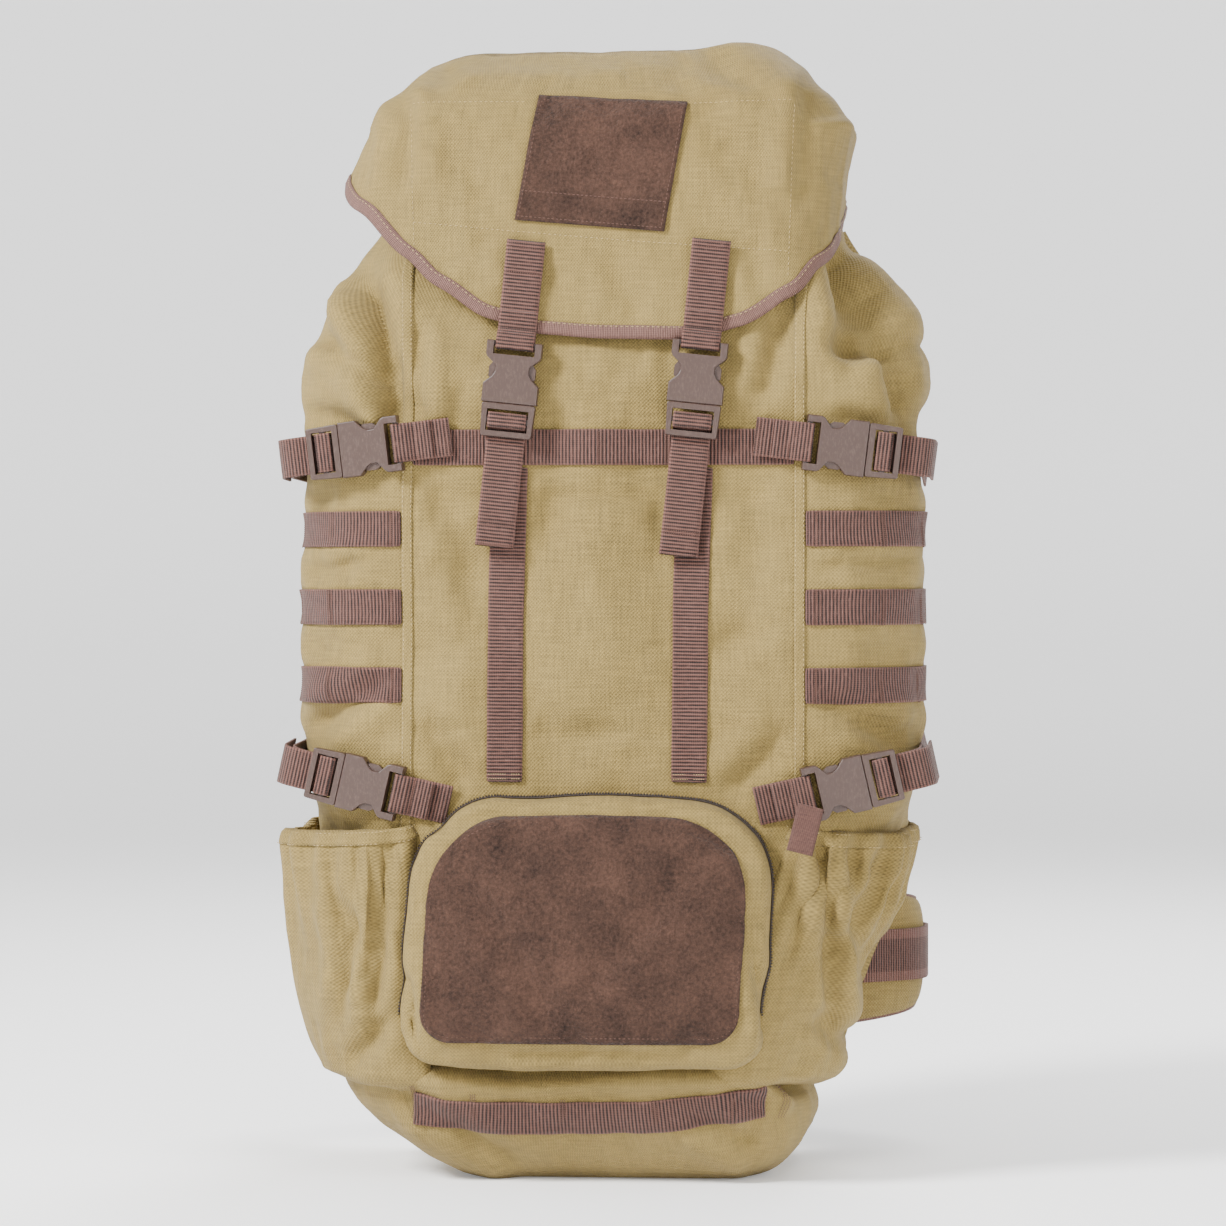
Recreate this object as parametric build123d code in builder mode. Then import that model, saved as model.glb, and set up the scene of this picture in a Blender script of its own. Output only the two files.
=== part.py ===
from build123d import *

import os
from math import atan2, cos, degrees, radians, sin, tan

# Hunting backpack of about 60 litres, standing on its base, in millimetres.
# +Z is up, the front faces -Y and the wearer stands at +Y. The origin is the centre of the flat base.
# "Left" and "right" are as seen by someone who looks at the front.

os.makedirs("parts", exist_ok=True)

# ---- cloth, webbing and clearances ----
cloth = 2.0  # a canvas panel with its lining
gap = 0.3  # between a sewn piece and the panel under it
travel_gap = 1.5  # between pieces that move past each other
webbing_width = 25.0
webbing_pitch = 50.8  # rows of the attachment ladder
webbing = 1.6  # thickness

# ---- bag: stacked rounded rectangles ----
bag_half_width = 203.0
bag_front = 122.0  # from the origin to the flat front
bag_back = 100.0
bag_corner = 70.0
seam_x = 129.0  # the seams between front, back and side panels

base_half_width, base_front, base_back, base_corner = 92.0, 76.0, 94.0, 30.0
heel_height, heel_half_width, heel_front = 24.0, 128.0, 104.0  # top of the base panel
foot_height, foot_half_width = 70.0, 145.0  # where the front becomes upright
pouch_top, pouch_inset = 232.0, 14.0  # the bag is slimmer behind its side pockets
straight_bottom = 244.0
straight_top = 520.0
shoulder_height, shoulder_half_width, shoulder_front = 580.0, 186.0, 108.0
bag_height, mouth_half_width, mouth_front, mouth_back = 630.0, 152.0, 88.0, 96.0
collar_height, collar_taper = 56.0, 30.0  # the drawcord collar above the mouth

# ---- buckles, 25 mm side release ----
socket_length, socket_width, buckle_thickness = 40.0, 36.0, 9.0
socket_wall = 1.8
waist_width, waist_start, waist_end = 22.0, 17.0, 28.0
prong_length, prong_width, prong_play = 26.0, 30.4, 0.3
plug_length, plug_width, plug_thickness = 22.0, 35.0, 8.0
bar = 3.6  # bars that webbing turns round
slot = 5.2


def section(height, half_width, front, back, corner, grow=0.0):
    """One level of the bag, grown outwards by that much."""
    with BuildSketch(Plane.XY.offset(height)) as level:
        with Locations((0, (back - front) / 2)):
            RectangleRounded(2 * (half_width + grow), front + back + 2 * grow, corner + grow)
    return level.sketch


straight = (bag_half_width, bag_front, bag_back, bag_corner)
mouth = (mouth_half_width, mouth_front, mouth_back, bag_corner - 10)
levels = [
    (0, base_half_width, base_front, base_back, base_corner),
    (heel_height, heel_half_width, heel_front, bag_back - 3, base_corner + 15),
    (foot_height, foot_half_width, bag_front, bag_back, bag_corner - 10),
    (pouch_top, bag_half_width - pouch_inset, bag_front, bag_back, bag_corner - 2),
    (straight_bottom, *straight),
    (straight_top, *straight),
    (shoulder_height, shoulder_half_width, shoulder_front, bag_back, bag_corner - 4),
    (bag_height, *mouth),
]

with BuildPart() as bag_outside:
    loft([section(*level) for level in levels], ruled=True)
with BuildPart() as bag_inside:
    floor_level = (cloth, *levels[0][1:])
    past_mouth = (bag_height + 10, *mouth)
    inner = [floor_level, *levels[1:], past_mouth]
    loft([section(*level, grow=-cloth) for level in inner], ruled=True)
with BuildPart() as bag_shell:
    add(bag_outside.part)
    add(bag_inside.part, mode=Mode.SUBTRACT)

# a box that takes one region of the bag
big = 400.0


def region(x0, x1, y0, y1, z0, z1):
    with BuildPart() as block:
        with Locations(((x0 + x1) / 2, (y0 + y1) / 2, (z0 + z1) / 2)):
            Box(x1 - x0, y1 - y0, z1 - z0)
    return block.part


def finish(part, name):
    part.label = name
    export_step(part, f"parts/{name}.step")


# ---- bag panels, face to face at their seams ----
with BuildPart() as front_panel:
    add(bag_shell.part)
    add(region(-seam_x, seam_x, -big, 0, heel_height, big * 2), mode=Mode.INTERSECT)
finish(front_panel.part, "front_panel")

with BuildPart() as back_panel:
    add(bag_shell.part)
    add(region(-seam_x, seam_x, 0, big, heel_height, big * 2), mode=Mode.INTERSECT)
finish(back_panel.part, "back_panel")

for side, name in ((-1, "left"), (1, "right")):
    x_range = sorted((side * seam_x, side * big))
    with BuildPart() as side_panel:
        add(bag_shell.part)
        add(region(*x_range, -big, big, heel_height, big * 2), mode=Mode.INTERSECT)
    finish(side_panel.part, f"side_panel_{name}")

with BuildPart() as base_panel:
    add(bag_shell.part)
    add(region(-big, big, -big, big, -1, heel_height), mode=Mode.INTERSECT)
finish(base_panel.part, "base_panel")

# ---- drawcord collar, its cord and its cord lock ----
collar_bottom = (bag_height, *mouth)
collar_top = (
    bag_height + collar_height,
    mouth_half_width - collar_taper,
    mouth_front - collar_taper * 0.7,
    mouth_back - collar_taper * 0.7,
    bag_corner - 20,
)
with BuildPart() as collar:
    loft([section(*collar_bottom), section(*collar_top)], ruled=True)
    past_top = (collar_top[0] + 1, *collar_top[1:])
    below = (collar_bottom[0] - 1, *collar_bottom[1:])
    inside = [section(*level, grow=-cloth) for level in (below, collar_bottom, collar_top, past_top)]
    loft(inside, ruled=True, mode=Mode.SUBTRACT)
finish(collar.part, "drawcord_collar")

cord, hem_depth = 3.0, 6.0
collar_slant = collar_taper / collar_height
ring_level = (collar_top[0] - hem_depth, *collar_top[1:])
ring_out = hem_depth * collar_slant + 2 * gap
with BuildPart() as drawcord:
    with BuildSketch(Plane.XY.offset(ring_level[0])):
        add(section(*ring_level, grow=ring_out + cord))
        add(section(*ring_level, grow=ring_out), mode=Mode.SUBTRACT)
    extrude(amount=cord)
finish(drawcord.part, "drawcord")

lock_width, lock_depth, lock_height = 14.0, 11.0, 18.0
lock_bore, button_travel, button_play = 8.0, 4.0, 0.2
lock_z = ring_level[0] - lock_height
lock_y = -(collar_top[2] + (collar_top[0] - lock_z) * collar_slant + cord + lock_depth / 2)
lock_plane = Plane((0, lock_y, lock_z))
with BuildPart() as cord_lock:
    with BuildSketch(lock_plane):
        RectangleRounded(lock_width, lock_depth, 4.0)
    extrude(amount=lock_height)
    with BuildSketch(lock_plane.offset(4)):
        Circle(lock_bore / 2)
    extrude(amount=lock_height, mode=Mode.SUBTRACT)
finish(cord_lock.part, "cord_lock")

with BuildPart() as lock_button:
    with BuildSketch(lock_plane.offset(4 + button_travel + 0.5)):
        Circle(lock_bore / 2 - button_play)
    extrude(amount=lock_height)
finish(lock_button.part, "cord_lock_button")

# ---- frame inside the back panel ----
sheet_half_width, sheet_bottom, sheet_top, sheet = 82.0, 84.0, 560.0, 1.5
sheet_corner = 30.0
sheet_y = bag_back - cloth - gap - sheet
with BuildPart() as frame_sheet:
    with BuildSketch(Plane.XZ.offset(-(sheet_y + sheet))):
        with Locations((0, (sheet_bottom + sheet_top) / 2)):
            RectangleRounded(2 * sheet_half_width, sheet_top - sheet_bottom, sheet_corner)
    extrude(amount=sheet)
finish(frame_sheet.part, "frame_sheet")

stay_width, stay, stay_x, stay_margin = 25.0, 3.0, 60.0, 15.0
sheet_middle = (sheet_bottom + sheet_top) / 2
with BuildPart() as frame_stays:
    with Locations(*[(x, sheet_y - gap - stay / 2, sheet_middle) for x in (-stay_x, stay_x)]):
        Box(stay_width, stay, sheet_top - sheet_bottom - 2 * stay_margin)
finish(frame_stays.part, "frame_stays")

# ---- lid: zipped pocket, hanging skirt, binding, patch ----
zip_width, zip_height = 7.0, 1.6
lid_bottom = bag_height + collar_height + 8
lid_half_width = mouth_half_width + 10
lid_front = bag_front + travel_gap + cloth
lid_back = bag_back + 10
lid_corner = 50.0
lid_rim = (lid_half_width, lid_front, lid_back, lid_corner)
lid_brow, lid_height = 20.0, 46.0  # the front folds over at the brow, and the top rises from there
brow_level = (lid_bottom + lid_brow, lid_half_width - 20, lid_front - 5, lid_back - 4, lid_corner)
top_inset = 50.0
lid_top_level = (
    lid_bottom + lid_height,
    lid_half_width - top_inset,
    lid_front - top_inset - 2,
    lid_back - 30,
    lid_corner - 12,
)
lid_zip_half, lid_zip_z = 100.0, lid_bottom + 10.0
with BuildPart() as lid_pocket:
    loft([section(lid_bottom, *lid_rim), section(*brow_level), section(*lid_top_level)], ruled=True)
    inner_bottom = (lid_bottom + cloth, *lid_rim)
    inner_top = (lid_top_level[0] - cloth, *lid_top_level[1:])
    inner_levels = (inner_bottom, brow_level, inner_top)
    loft([section(*level, grow=-2 * cloth) for level in inner_levels], ruled=True, mode=Mode.SUBTRACT)
    with Locations((0, lid_back, lid_zip_z)):
        Box(2 * lid_zip_half - 6, 4 * cloth, zip_width - 2, mode=Mode.SUBTRACT)
finish(lid_pocket.part, "lid_pocket")

flap_bottom = 553.0
flap_rise = 48.0  # how far the flap's lower edge climbs before it turns up the sides
skirt_side = bag_height + 26.0


def flap_region(lift):
    """What lies above the skirt's lower edge, raised by lift: the curved flap in front, level behind."""
    low, side = flap_bottom + lift, skirt_side + lift
    with BuildPart() as keep:
        with BuildSketch(Plane.XZ):
            with BuildLine():
                Polyline((-lid_half_width * 0.42, low), (lid_half_width * 0.42, low))
                RadiusArc(
                    (lid_half_width * 0.42, low),
                    (lid_half_width * 0.8, low + flap_rise),
                    -lid_half_width,
                )
                Polyline(
                    (lid_half_width * 0.8, low + flap_rise),
                    (lid_half_width + 10, side + 10),
                    (lid_half_width + 10, lid_bottom),
                    (-lid_half_width - 10, lid_bottom),
                    (-lid_half_width - 10, side + 10),
                    (-lid_half_width * 0.8, low + flap_rise),
                )
                RadiusArc(
                    (-lid_half_width * 0.8, low + flap_rise),
                    (-lid_half_width * 0.42, low),
                    -lid_half_width,
                )
            make_face()
        extrude(amount=big)
        with BuildSketch(Plane.YZ):
            with BuildLine():
                Polyline((0, lid_bottom), (0, side), (big, side), (big, lid_bottom), close=True)
            make_face()
        extrude(amount=big, both=True)
    return keep.part


def rim_ring(grow_out, grow_in):
    """A wall that follows the lid's rim, from well below the flap to the pocket's underside."""
    with BuildPart() as ring:
        with BuildSketch(Plane.XY.offset(flap_bottom - 20)):
            add(section(0, *lid_rim, grow=grow_out))
            add(section(0, *lid_rim, grow=grow_in), mode=Mode.SUBTRACT)
        extrude(amount=lid_bottom - flap_bottom + 20)
    return ring.part


with BuildPart() as lid_skirt:
    add(rim_ring(0, -cloth))
    add(flap_region(0), mode=Mode.INTERSECT)
finish(lid_skirt.part, "lid_skirt")

binding_width, binding_cloth = 10.0, 1.0
with BuildPart() as lid_binding:
    add(rim_ring(binding_cloth, -cloth - binding_cloth))
    add(flap_region(-binding_cloth), mode=Mode.INTERSECT)
    add(flap_region(binding_width), mode=Mode.SUBTRACT)
    add(lid_skirt.part, mode=Mode.SUBTRACT)
    add(region(-big, big, bag_back - 60, big, 0, big * 2), mode=Mode.SUBTRACT)
finish(lid_binding.part, "lid_binding")

patch_width, patch_height, patch_x, patch_bottom = 96.0, 62.0, -6.0, 628.0
with BuildPart() as lid_patch:
    with BuildSketch(Plane.XZ.offset(lid_front + gap)):
        with Locations((patch_x, patch_bottom + patch_height / 2)):
            Rectangle(patch_width, patch_height)
    extrude(amount=2.0)
finish(lid_patch.part, "lid_patch")

# ---- front pocket with its loop panel and zip ----
pocket_half_width, pocket_low, pocket_high, pocket_depth = 120.0, 84.0, 248.0, 28.0
pocket_shoulder, pocket_foot = 60.0, 14.0  # corner radii
pocket_y = bag_front + gap


def pocket_outline(grow):
    """The front pocket seen from the front: square feet and large round shoulders."""
    half = pocket_half_width + grow
    with BuildSketch() as outline:
        with BuildLine():
            FilletPolyline(
                (-half, pocket_low - grow),
                (-half, pocket_high + grow),
                (half, pocket_high + grow),
                (half, pocket_low - grow),
                radius=[pocket_foot, pocket_shoulder, pocket_shoulder, pocket_foot],
                close=True,
            )
        make_face()
    return outline.sketch


with BuildPart() as front_pocket:
    with BuildSketch(Plane.XZ.offset(pocket_y)):
        add(pocket_outline(0))
    extrude(amount=pocket_depth)
    fillet(front_pocket.faces().sort_by(Axis.Y)[0].edges(), radius=9)
    with BuildSketch(Plane.XZ.offset(pocket_y + cloth)):
        add(pocket_outline(-cloth - 2))
    extrude(amount=pocket_depth - 2 * cloth, mode=Mode.SUBTRACT)
finish(front_pocket.part, "front_pocket")

loop_margin, loop_thickness = 10.0, 2.0
with BuildPart() as pocket_loop_panel:
    with BuildSketch(Plane.XZ.offset(pocket_y + pocket_depth + gap)):
        add(pocket_outline(-loop_margin))
    extrude(amount=loop_thickness)
finish(pocket_loop_panel.part, "pocket_loop_panel")

zip_y = pocket_y + 5.0
zip_end = pocket_low + pocket_foot + 4
with BuildPart() as pocket_zip:
    with BuildSketch(Plane.XZ.offset(zip_y)):
        add(pocket_outline(gap + zip_height))
        add(pocket_outline(gap), mode=Mode.SUBTRACT)
    extrude(amount=zip_width)
    add(region(-big, big, -big, big, 0, zip_end), mode=Mode.SUBTRACT)
finish(pocket_zip.part, "pocket_zip")

# ---- side pockets: open topped pouches outside the slimmer part of the bag ----
pouch_room = 18.0
pouch_back = 80.0  # how far behind the origin they reach
pouch_levels = levels[2:4]


def pouch_hull(grow):
    with BuildPart() as hull:
        loft([section(*level, grow=grow) for level in pouch_levels], ruled=True)
    return hull.part


def pouch_range(side, margin, floor):
    """The box that a side pocket may fill, made smaller by a margin."""
    x_range = sorted((side * (seam_x + margin), side * big))
    return region(*x_range, -big, pouch_back - margin, floor, big)


pouch_outside = pouch_hull(gap + pouch_room + cloth)
pouch_inside = pouch_hull(gap + pouch_room)
bag_clear = pouch_hull(gap)
for side, name in ((-1, "left"), (1, "right")):
    with BuildPart() as pouch_space:
        add(pouch_inside)
        add(pouch_range(side, cloth, foot_height + cloth), mode=Mode.INTERSECT)
    with BuildPart() as side_pocket:
        add(pouch_outside)
        add(pouch_range(side, 0, 0), mode=Mode.INTERSECT)
        add(pouch_space.part, mode=Mode.SUBTRACT)
        add(bag_clear, mode=Mode.SUBTRACT)
    finish(side_pocket.part, f"side_pocket_{name}")

# ---- label tab in the right front seam ----
with BuildPart() as label_tab:
    with Locations((seam_x + 9, -(bag_front + pouch_room + cloth + 2 * gap + 1), pouch_top - 8)):
        Box(14, 1.2, 30)
finish(label_tab.part, "label_tab")

# ---- webbing sewn to the bag ----
band_height = 480.0
webbing_out = gap + webbing / 2  # from a panel to the middle of the webbing on it


def band(height, x0, x1, y0, y1):
    """Webbing round the straight part of the bag, kept between those limits."""
    with BuildPart() as loop:
        with BuildSketch(Plane.XY.offset(height - webbing_width / 2)):
            add(section(0, *straight, grow=gap + webbing))
            add(section(0, *straight, grow=gap), mode=Mode.SUBTRACT)
        extrude(amount=webbing_width)
        add(region(x0, x1, y0, y1, 0, big * 2), mode=Mode.INTERSECT)
    return loop.part


strap_x = 60.0
vertical_top = band_height - webbing_width / 2 - 2
vertical_bottom = pocket_high + 15
with BuildPart() as front_webbing:
    add(band(band_height, -seam_x + 4, seam_x - 4, -big, 0))
    vertical_middle = (vertical_top + vertical_bottom) / 2
    with Locations(*[(x, -bag_front - webbing_out, vertical_middle) for x in (-strap_x, strap_x)]):
        Box(webbing_width, webbing, vertical_top - vertical_bottom)
finish(front_webbing.part, "front_webbing")

ladder_back, ladder_rows = 60.0, 3
with BuildPart() as side_ladders:
    for row in range(ladder_rows):
        height = band_height - 2 - (row + 1) * webbing_pitch
        add(band(height, -big, -seam_x - 2, -big, ladder_back))
        add(band(height, seam_x + 2, big, -big, ladder_back))
finish(side_ladders.part, "side_ladders")

# the base row lies on the slope between heel and foot
slope_angle = degrees(atan2(bag_front - heel_front, foot_height - heel_height))
slope_plane = Plane(
    origin=(0, -(bag_front + heel_front) / 2, (foot_height + heel_height) / 2),
    x_dir=(1, 0, 0),
    z_dir=(0, -cos(radians(slope_angle)), -sin(radians(slope_angle))),
)
base_row_length = 190.0
with BuildPart() as base_webbing:
    with BuildSketch(slope_plane.offset(gap)):
        Rectangle(base_row_length, webbing_width)
    extrude(amount=webbing)
finish(base_webbing.part, "base_webbing")

# ---- buckle halves, drawn along X: the mouth plane is x = 0, the socket is at +x and the plug at -x ----
def outline_of(points):
    """A closed outline mirrored about the X axis."""
    with BuildSketch() as shape:
        with BuildLine():
            Polyline(*points, *[(x, -y) for x, y in reversed(points)], close=True)
        make_face()
    return shape.sketch


bar_room = webbing_width + 2.0


def make_socket():
    half, waist = socket_width / 2, waist_width / 2
    side_points = [
        (0, half),
        (waist_start - 5, half),
        (waist_start, waist + 1.5),
        (waist_start + 3, waist),
        (waist_end - 4, waist),
        (waist_end + 1, half - 1),
        (waist_end + 3, half),
        (socket_length, half),
    ]
    bar_x = socket_length - bar / 2
    with BuildPart() as half_buckle:
        with BuildSketch(Plane.XY.offset(-buckle_thickness / 2)):
            add(outline_of(side_points))
        extrude(amount=buckle_thickness)
        fillet(half_buckle.faces().filter_by(Axis.Z).edges(), radius=0.8)
        with Locations((prong_length / 2, 0, 0)):
            room = prong_width + 2 * prong_play
            Box(prong_length + 2, room, buckle_thickness - 2 * socket_wall, mode=Mode.SUBTRACT)
        with Locations((bar_x - (bar + slot) / 2, 0, 0)):
            Box(slot, bar_room, buckle_thickness + 2, mode=Mode.SUBTRACT)
        thinned = (buckle_thickness + bar) / 2
        with Locations((bar_x, 0, thinned), (bar_x, 0, -thinned)):
            Box(bar + 2, bar_room, buckle_thickness, mode=Mode.SUBTRACT)
    return half_buckle.part


prong_thickness = buckle_thickness - 2 * socket_wall - 2 * prong_play
middle_bar_x = -plug_length + bar * 1.5 + slot
upper_slot_x = middle_bar_x + (bar + slot) / 2
lower_slot_x = middle_bar_x - (bar + slot) / 2
strap_under = -(plug_thickness / 2 + webbing / 2 + 0.4)  # the load strap passes behind the plug
strap_over, tail_under = 3.6, -1.6  # webbing's middle over the middle bar and under the end bar
middle_bar_top, middle_bar_foot, end_bar_foot = 2.5, -1.5, -0.5


def make_plug():
    half, reach = plug_width / 2, prong_width / 2
    with BuildPart() as half_buckle:
        with BuildSketch(Plane.XY.offset(-plug_thickness / 2)):
            add(outline_of([(-gap, half), (-plug_length, half - 1)]))
        extrude(amount=plug_thickness)
        fillet(half_buckle.edges().filter_by(Axis.Z), radius=1.5)
        fillet(half_buckle.faces().filter_by(Axis.Z).edges(), radius=0.7)
        with Locations((upper_slot_x, 0, 0), (lower_slot_x, 0, 0)):
            Box(slot, bar_room, plug_thickness + 2, mode=Mode.SUBTRACT)
        # both bars are thinned to let the webbing by
        cut = plug_thickness
        with Locations(
            (middle_bar_x, 0, middle_bar_top + cut / 2),
            (middle_bar_x, 0, middle_bar_foot - cut / 2),
            (-plug_length + bar / 2, 0, end_bar_foot - cut / 2),
        ):
            Box(bar + 1, bar_room, cut, mode=Mode.SUBTRACT)
        # guide tongue and the two sprung prongs
        with BuildSketch(Plane.XY.offset(-prong_thickness / 2)):
            with Locations((prong_length * 0.4 - 1, 0)):
                Rectangle(prong_length * 0.8 + 2, 5)
            for side in (-1, 1):
                with BuildLine():
                    Polyline(
                        (-1, side * 8.5),
                        (prong_length * 0.5, side * 8.5),
                        (prong_length * 0.85, side * 10.5),
                        (prong_length, side * 11.5),
                        (prong_length, side * 13),
                        (prong_length * 0.88, side * reach),
                        (prong_length * 0.64, side * reach),
                        (prong_length * 0.52, side * 12),
                        (-1, side * 13.5),
                        close=True,
                    )
                make_face()
        extrude(amount=prong_thickness)
    return half_buckle.part


socket = make_socket()
plug = make_plug()
thread_radius = 1.3


def route(points, radii):
    """A line through those points, with a tangent arc at each corner."""
    corners = [Vector(*point) for point in points]
    here = corners[0]
    for before, corner, after, radius in zip(corners, corners[1:], corners[2:], radii):
        into, out = (corner - before).normalized(), (after - corner).normalized()
        reach = radius * tan(radians(into.get_angle(out) / 2))
        arc_start, arc_end = corner - into * reach, corner + out * reach
        Line(here, arc_start)
        TangentArc(arc_start, arc_end, tangent=into)
        here = arc_end
    Line(here, corners[-1])


def flat_strap(points, radii):
    """Webbing in a buckle's own frame, whose middle follows those points in X and Z."""
    with BuildPart() as strap:
        with BuildSketch(Plane.XZ):
            with BuildLine():
                route(points, radii)
            trace(line_width=webbing)
        extrude(amount=webbing_width / 2, both=True)
    return strap.part


def socket_strap(leg_points, leg_radii):
    """Webbing looped round a socket's bar, sewn to itself, with a leg that runs on from there."""
    bar_middle = socket_length - bar / 2
    off = bar / 2 + gap + webbing / 2
    sewn = bar_middle + off + 1
    loop = [(sewn, off), (bar_middle - off, off), (bar_middle - off, -off), (sewn, -off)]
    with BuildPart() as strap:
        add(flat_strap(loop, [thread_radius, thread_radius]))
        with BuildSketch(Plane.XZ):
            with Locations((sewn + webbing / 2, 0)):
                Rectangle(webbing * 1.5, 2 * off + webbing)
        extrude(amount=webbing_width / 2, both=True)
        add(flat_strap([(sewn, 0), *leg_points], leg_radii))
    return strap.part


def plug_strap(load_points, load_radii, tail_points, tail_radii):
    """Webbing threaded through a plug: in behind it, over its middle bar and out under its end bar."""
    threading = [
        (upper_slot_x, strap_under),
        (upper_slot_x, strap_over),
        (lower_slot_x, strap_over),
        (lower_slot_x, tail_under),
    ]
    radii = [*load_radii, *[thread_radius] * 4, *tail_radii]
    return flat_strap([*load_points, *threading, *tail_points], radii)


# ---- two compression straps each side ----
wrap_angle = 8.0  # how far round the corner each buckle sits
standoff = 6.0
buckle_set_out = 27.0  # from the tangent point on the corner to the mouth plane
corner_x, corner_y = bag_half_width - bag_corner, -(bag_front - bag_corner)
side_clear, side_turn = 5.0, 30.0  # the strap's distance from the bag's side, and its radius at the corner
tail_clear, tail_turn, tail_reach = 4.2, 26.0, 50.0
stub_start, stub_end, stub_gap = ladder_back - 6, ladder_back + 24, 10.0
anchor_length, landing_run = 22.0, 9.0
# height, tilt, and how far the sewn end stands off the front panel's own webbing
compression_rows = {
    "upper": (band_height - 2, 7.0, webbing + gap),
    "lower": (straight_bottom + 20, -13.0, 0.0),
}

compression_sockets, strap_anchors = [], []
for row, (height, tilt, lift) in compression_rows.items():
    for side, name in ((-1, "left"), (1, "right")):
        angle, tip = radians(wrap_angle), radians(tilt)
        normal = Vector(side * sin(angle), -cos(angle), 0)
        inward = Vector(-side * cos(angle), -sin(angle), 0)
        touch = Vector(side * corner_x, corner_y, height) + normal * bag_corner
        along = inward * cos(tip) + Vector(0, 0, sin(tip))
        mouth_point = touch + normal * standoff - inward * buckle_set_out
        place = Plane(mouth_point, x_dir=along, z_dir=normal).location
        compression_sockets.append(place * socket)

        # the socket's strap drops to the front panel and lies on it
        twist = webbing_width / 2 * sin(angle) * abs(sin(tip))
        front_y = -bag_front - webbing_out - lift - twist
        landing = socket_length + landing_run
        leg = [
            (u, (mouth_point.Y + u * along.Y - front_y) / cos(angle))
            for u in (landing, landing + anchor_length)
        ]
        strap_anchors.append(place * socket_strap(leg, [4]))

        # the plug's strap turns the corner and runs back along the side
        run_u, run_w = -sin(angle) / cos(tip), -cos(angle)
        side_x = bag_half_width + side_clear
        meet_u = (abs(mouth_point.X) + strap_under * sin(angle) - side_x) / (cos(angle) * cos(tip))
        meet_y = mouth_point.Y + meet_u * along.Y + strap_under * normal.Y
        reach = stub_start - stub_gap - meet_y
        run_end = (meet_u + run_u * reach, strap_under + run_w * reach)
        outer_u = meet_u - tail_clear
        tail_end = (outer_u + run_u * tail_reach, tail_under + run_w * tail_reach)
        strap = plug_strap(
            [run_end, (meet_u, strap_under)], [side_turn], [(outer_u, tail_under), tail_end], [tail_turn]
        )
        finish(place * plug, f"{row}_plug_{name}")
        finish(place * strap, f"{row}_strap_{name}")

        # the strap's sewn end, in the back seam
        stub_height = height + run_end[0] * sin(tip)
        x_range = sorted((side * seam_x, side * big))
        strap_anchors.append(band(stub_height, *x_range, stub_start, stub_end))

finish(Compound(children=compression_sockets), "compression_sockets")
finish(Compound(children=strap_anchors), "strap_anchors")

# ---- lid straps and their buckles ----
lid_mouth = band_height + 28.0
lid_buckle_y = -(lid_front + binding_cloth + buckle_thickness / 2 + 0.6)
lean = 6.0
sewn_length, lid_tail_length = 104.0, 98.0
flap_w = lid_buckle_y + lid_front + binding_cloth + webbing_out
lid_sockets, lid_straps = [], []
for side, name in ((-1, "left"), (1, "right")):
    up = Vector(sin(radians(lean)), 0, cos(radians(lean)))
    place = Plane((side * strap_x, lid_buckle_y, lid_mouth), x_dir=up, z_dir=(0, -1, 0)).location
    lid_sockets.append(place * socket)
    leg = [(flap_bottom - lid_mouth + 1, flap_w), (sewn_length, flap_w)]
    lid_straps.append(place * socket_strap(leg, [4]))
    finish(place * plug, f"lid_plug_{name}")
    tail = plug_strap([(lower_slot_x + 2, strap_under)], [], [(-lid_tail_length, tail_under)], [])
    finish(place * tail, f"lid_tail_{name}")
finish(Compound(children=lid_sockets), "lid_sockets")
finish(Compound(children=lid_straps), "lid_straps")

# ---- zip sliders ----
slider_length, slider_width, slider_height = 12.0, 8.0, 2.6
pull_length = 24.0


def make_slider():
    """A zip slider that runs along X, with its bridge and its pull, on a plane just above the teeth."""
    with BuildPart() as slider:
        with BuildSketch():
            with BuildLine():
                Polyline(
                    (-slider_length / 2, -slider_width * 0.3),
                    (slider_length / 2, -slider_width / 2),
                    (slider_length / 2, slider_width / 2),
                    (-slider_length / 2, slider_width * 0.3),
                    close=True,
                )
            make_face()
        extrude(amount=slider_height)
        with Locations((0, 0, slider_height + 1.2)):
            Box(slider_length * 0.5, 2, 2.4)
        with BuildSketch(Plane.XY.offset(slider_height + 0.4)):
            with Locations((slider_length * 0.25 + pull_length / 2, 0)):
                SlotOverall(pull_length, 5)
        extrude(amount=1.6)
    return slider.part


slider_z = pocket_high - pocket_shoulder - 6
slider_plane = Plane(
    (-(pocket_half_width + zip_height + 2 * gap), -(zip_y + zip_width / 2), slider_z),
    x_dir=(0, 0, -1),
    z_dir=(-1, 0, 0),
)
finish(slider_plane.location * make_slider(), "pocket_slider")

with BuildPart() as lid_zip:
    with Locations((0, lid_back + gap + zip_height / 2, lid_zip_z)):
        Box(2 * lid_zip_half, zip_height, zip_width)
finish(lid_zip.part, "lid_zip")
lid_slider_plane = Plane(
    (-lid_zip_half + 20, lid_back + zip_height + 2 * gap, lid_zip_z),
    x_dir=(1, 0, 0),
    z_dir=(0, 1, 0),
)
finish(lid_slider_plane.location * make_slider(), "lid_slider")

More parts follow.
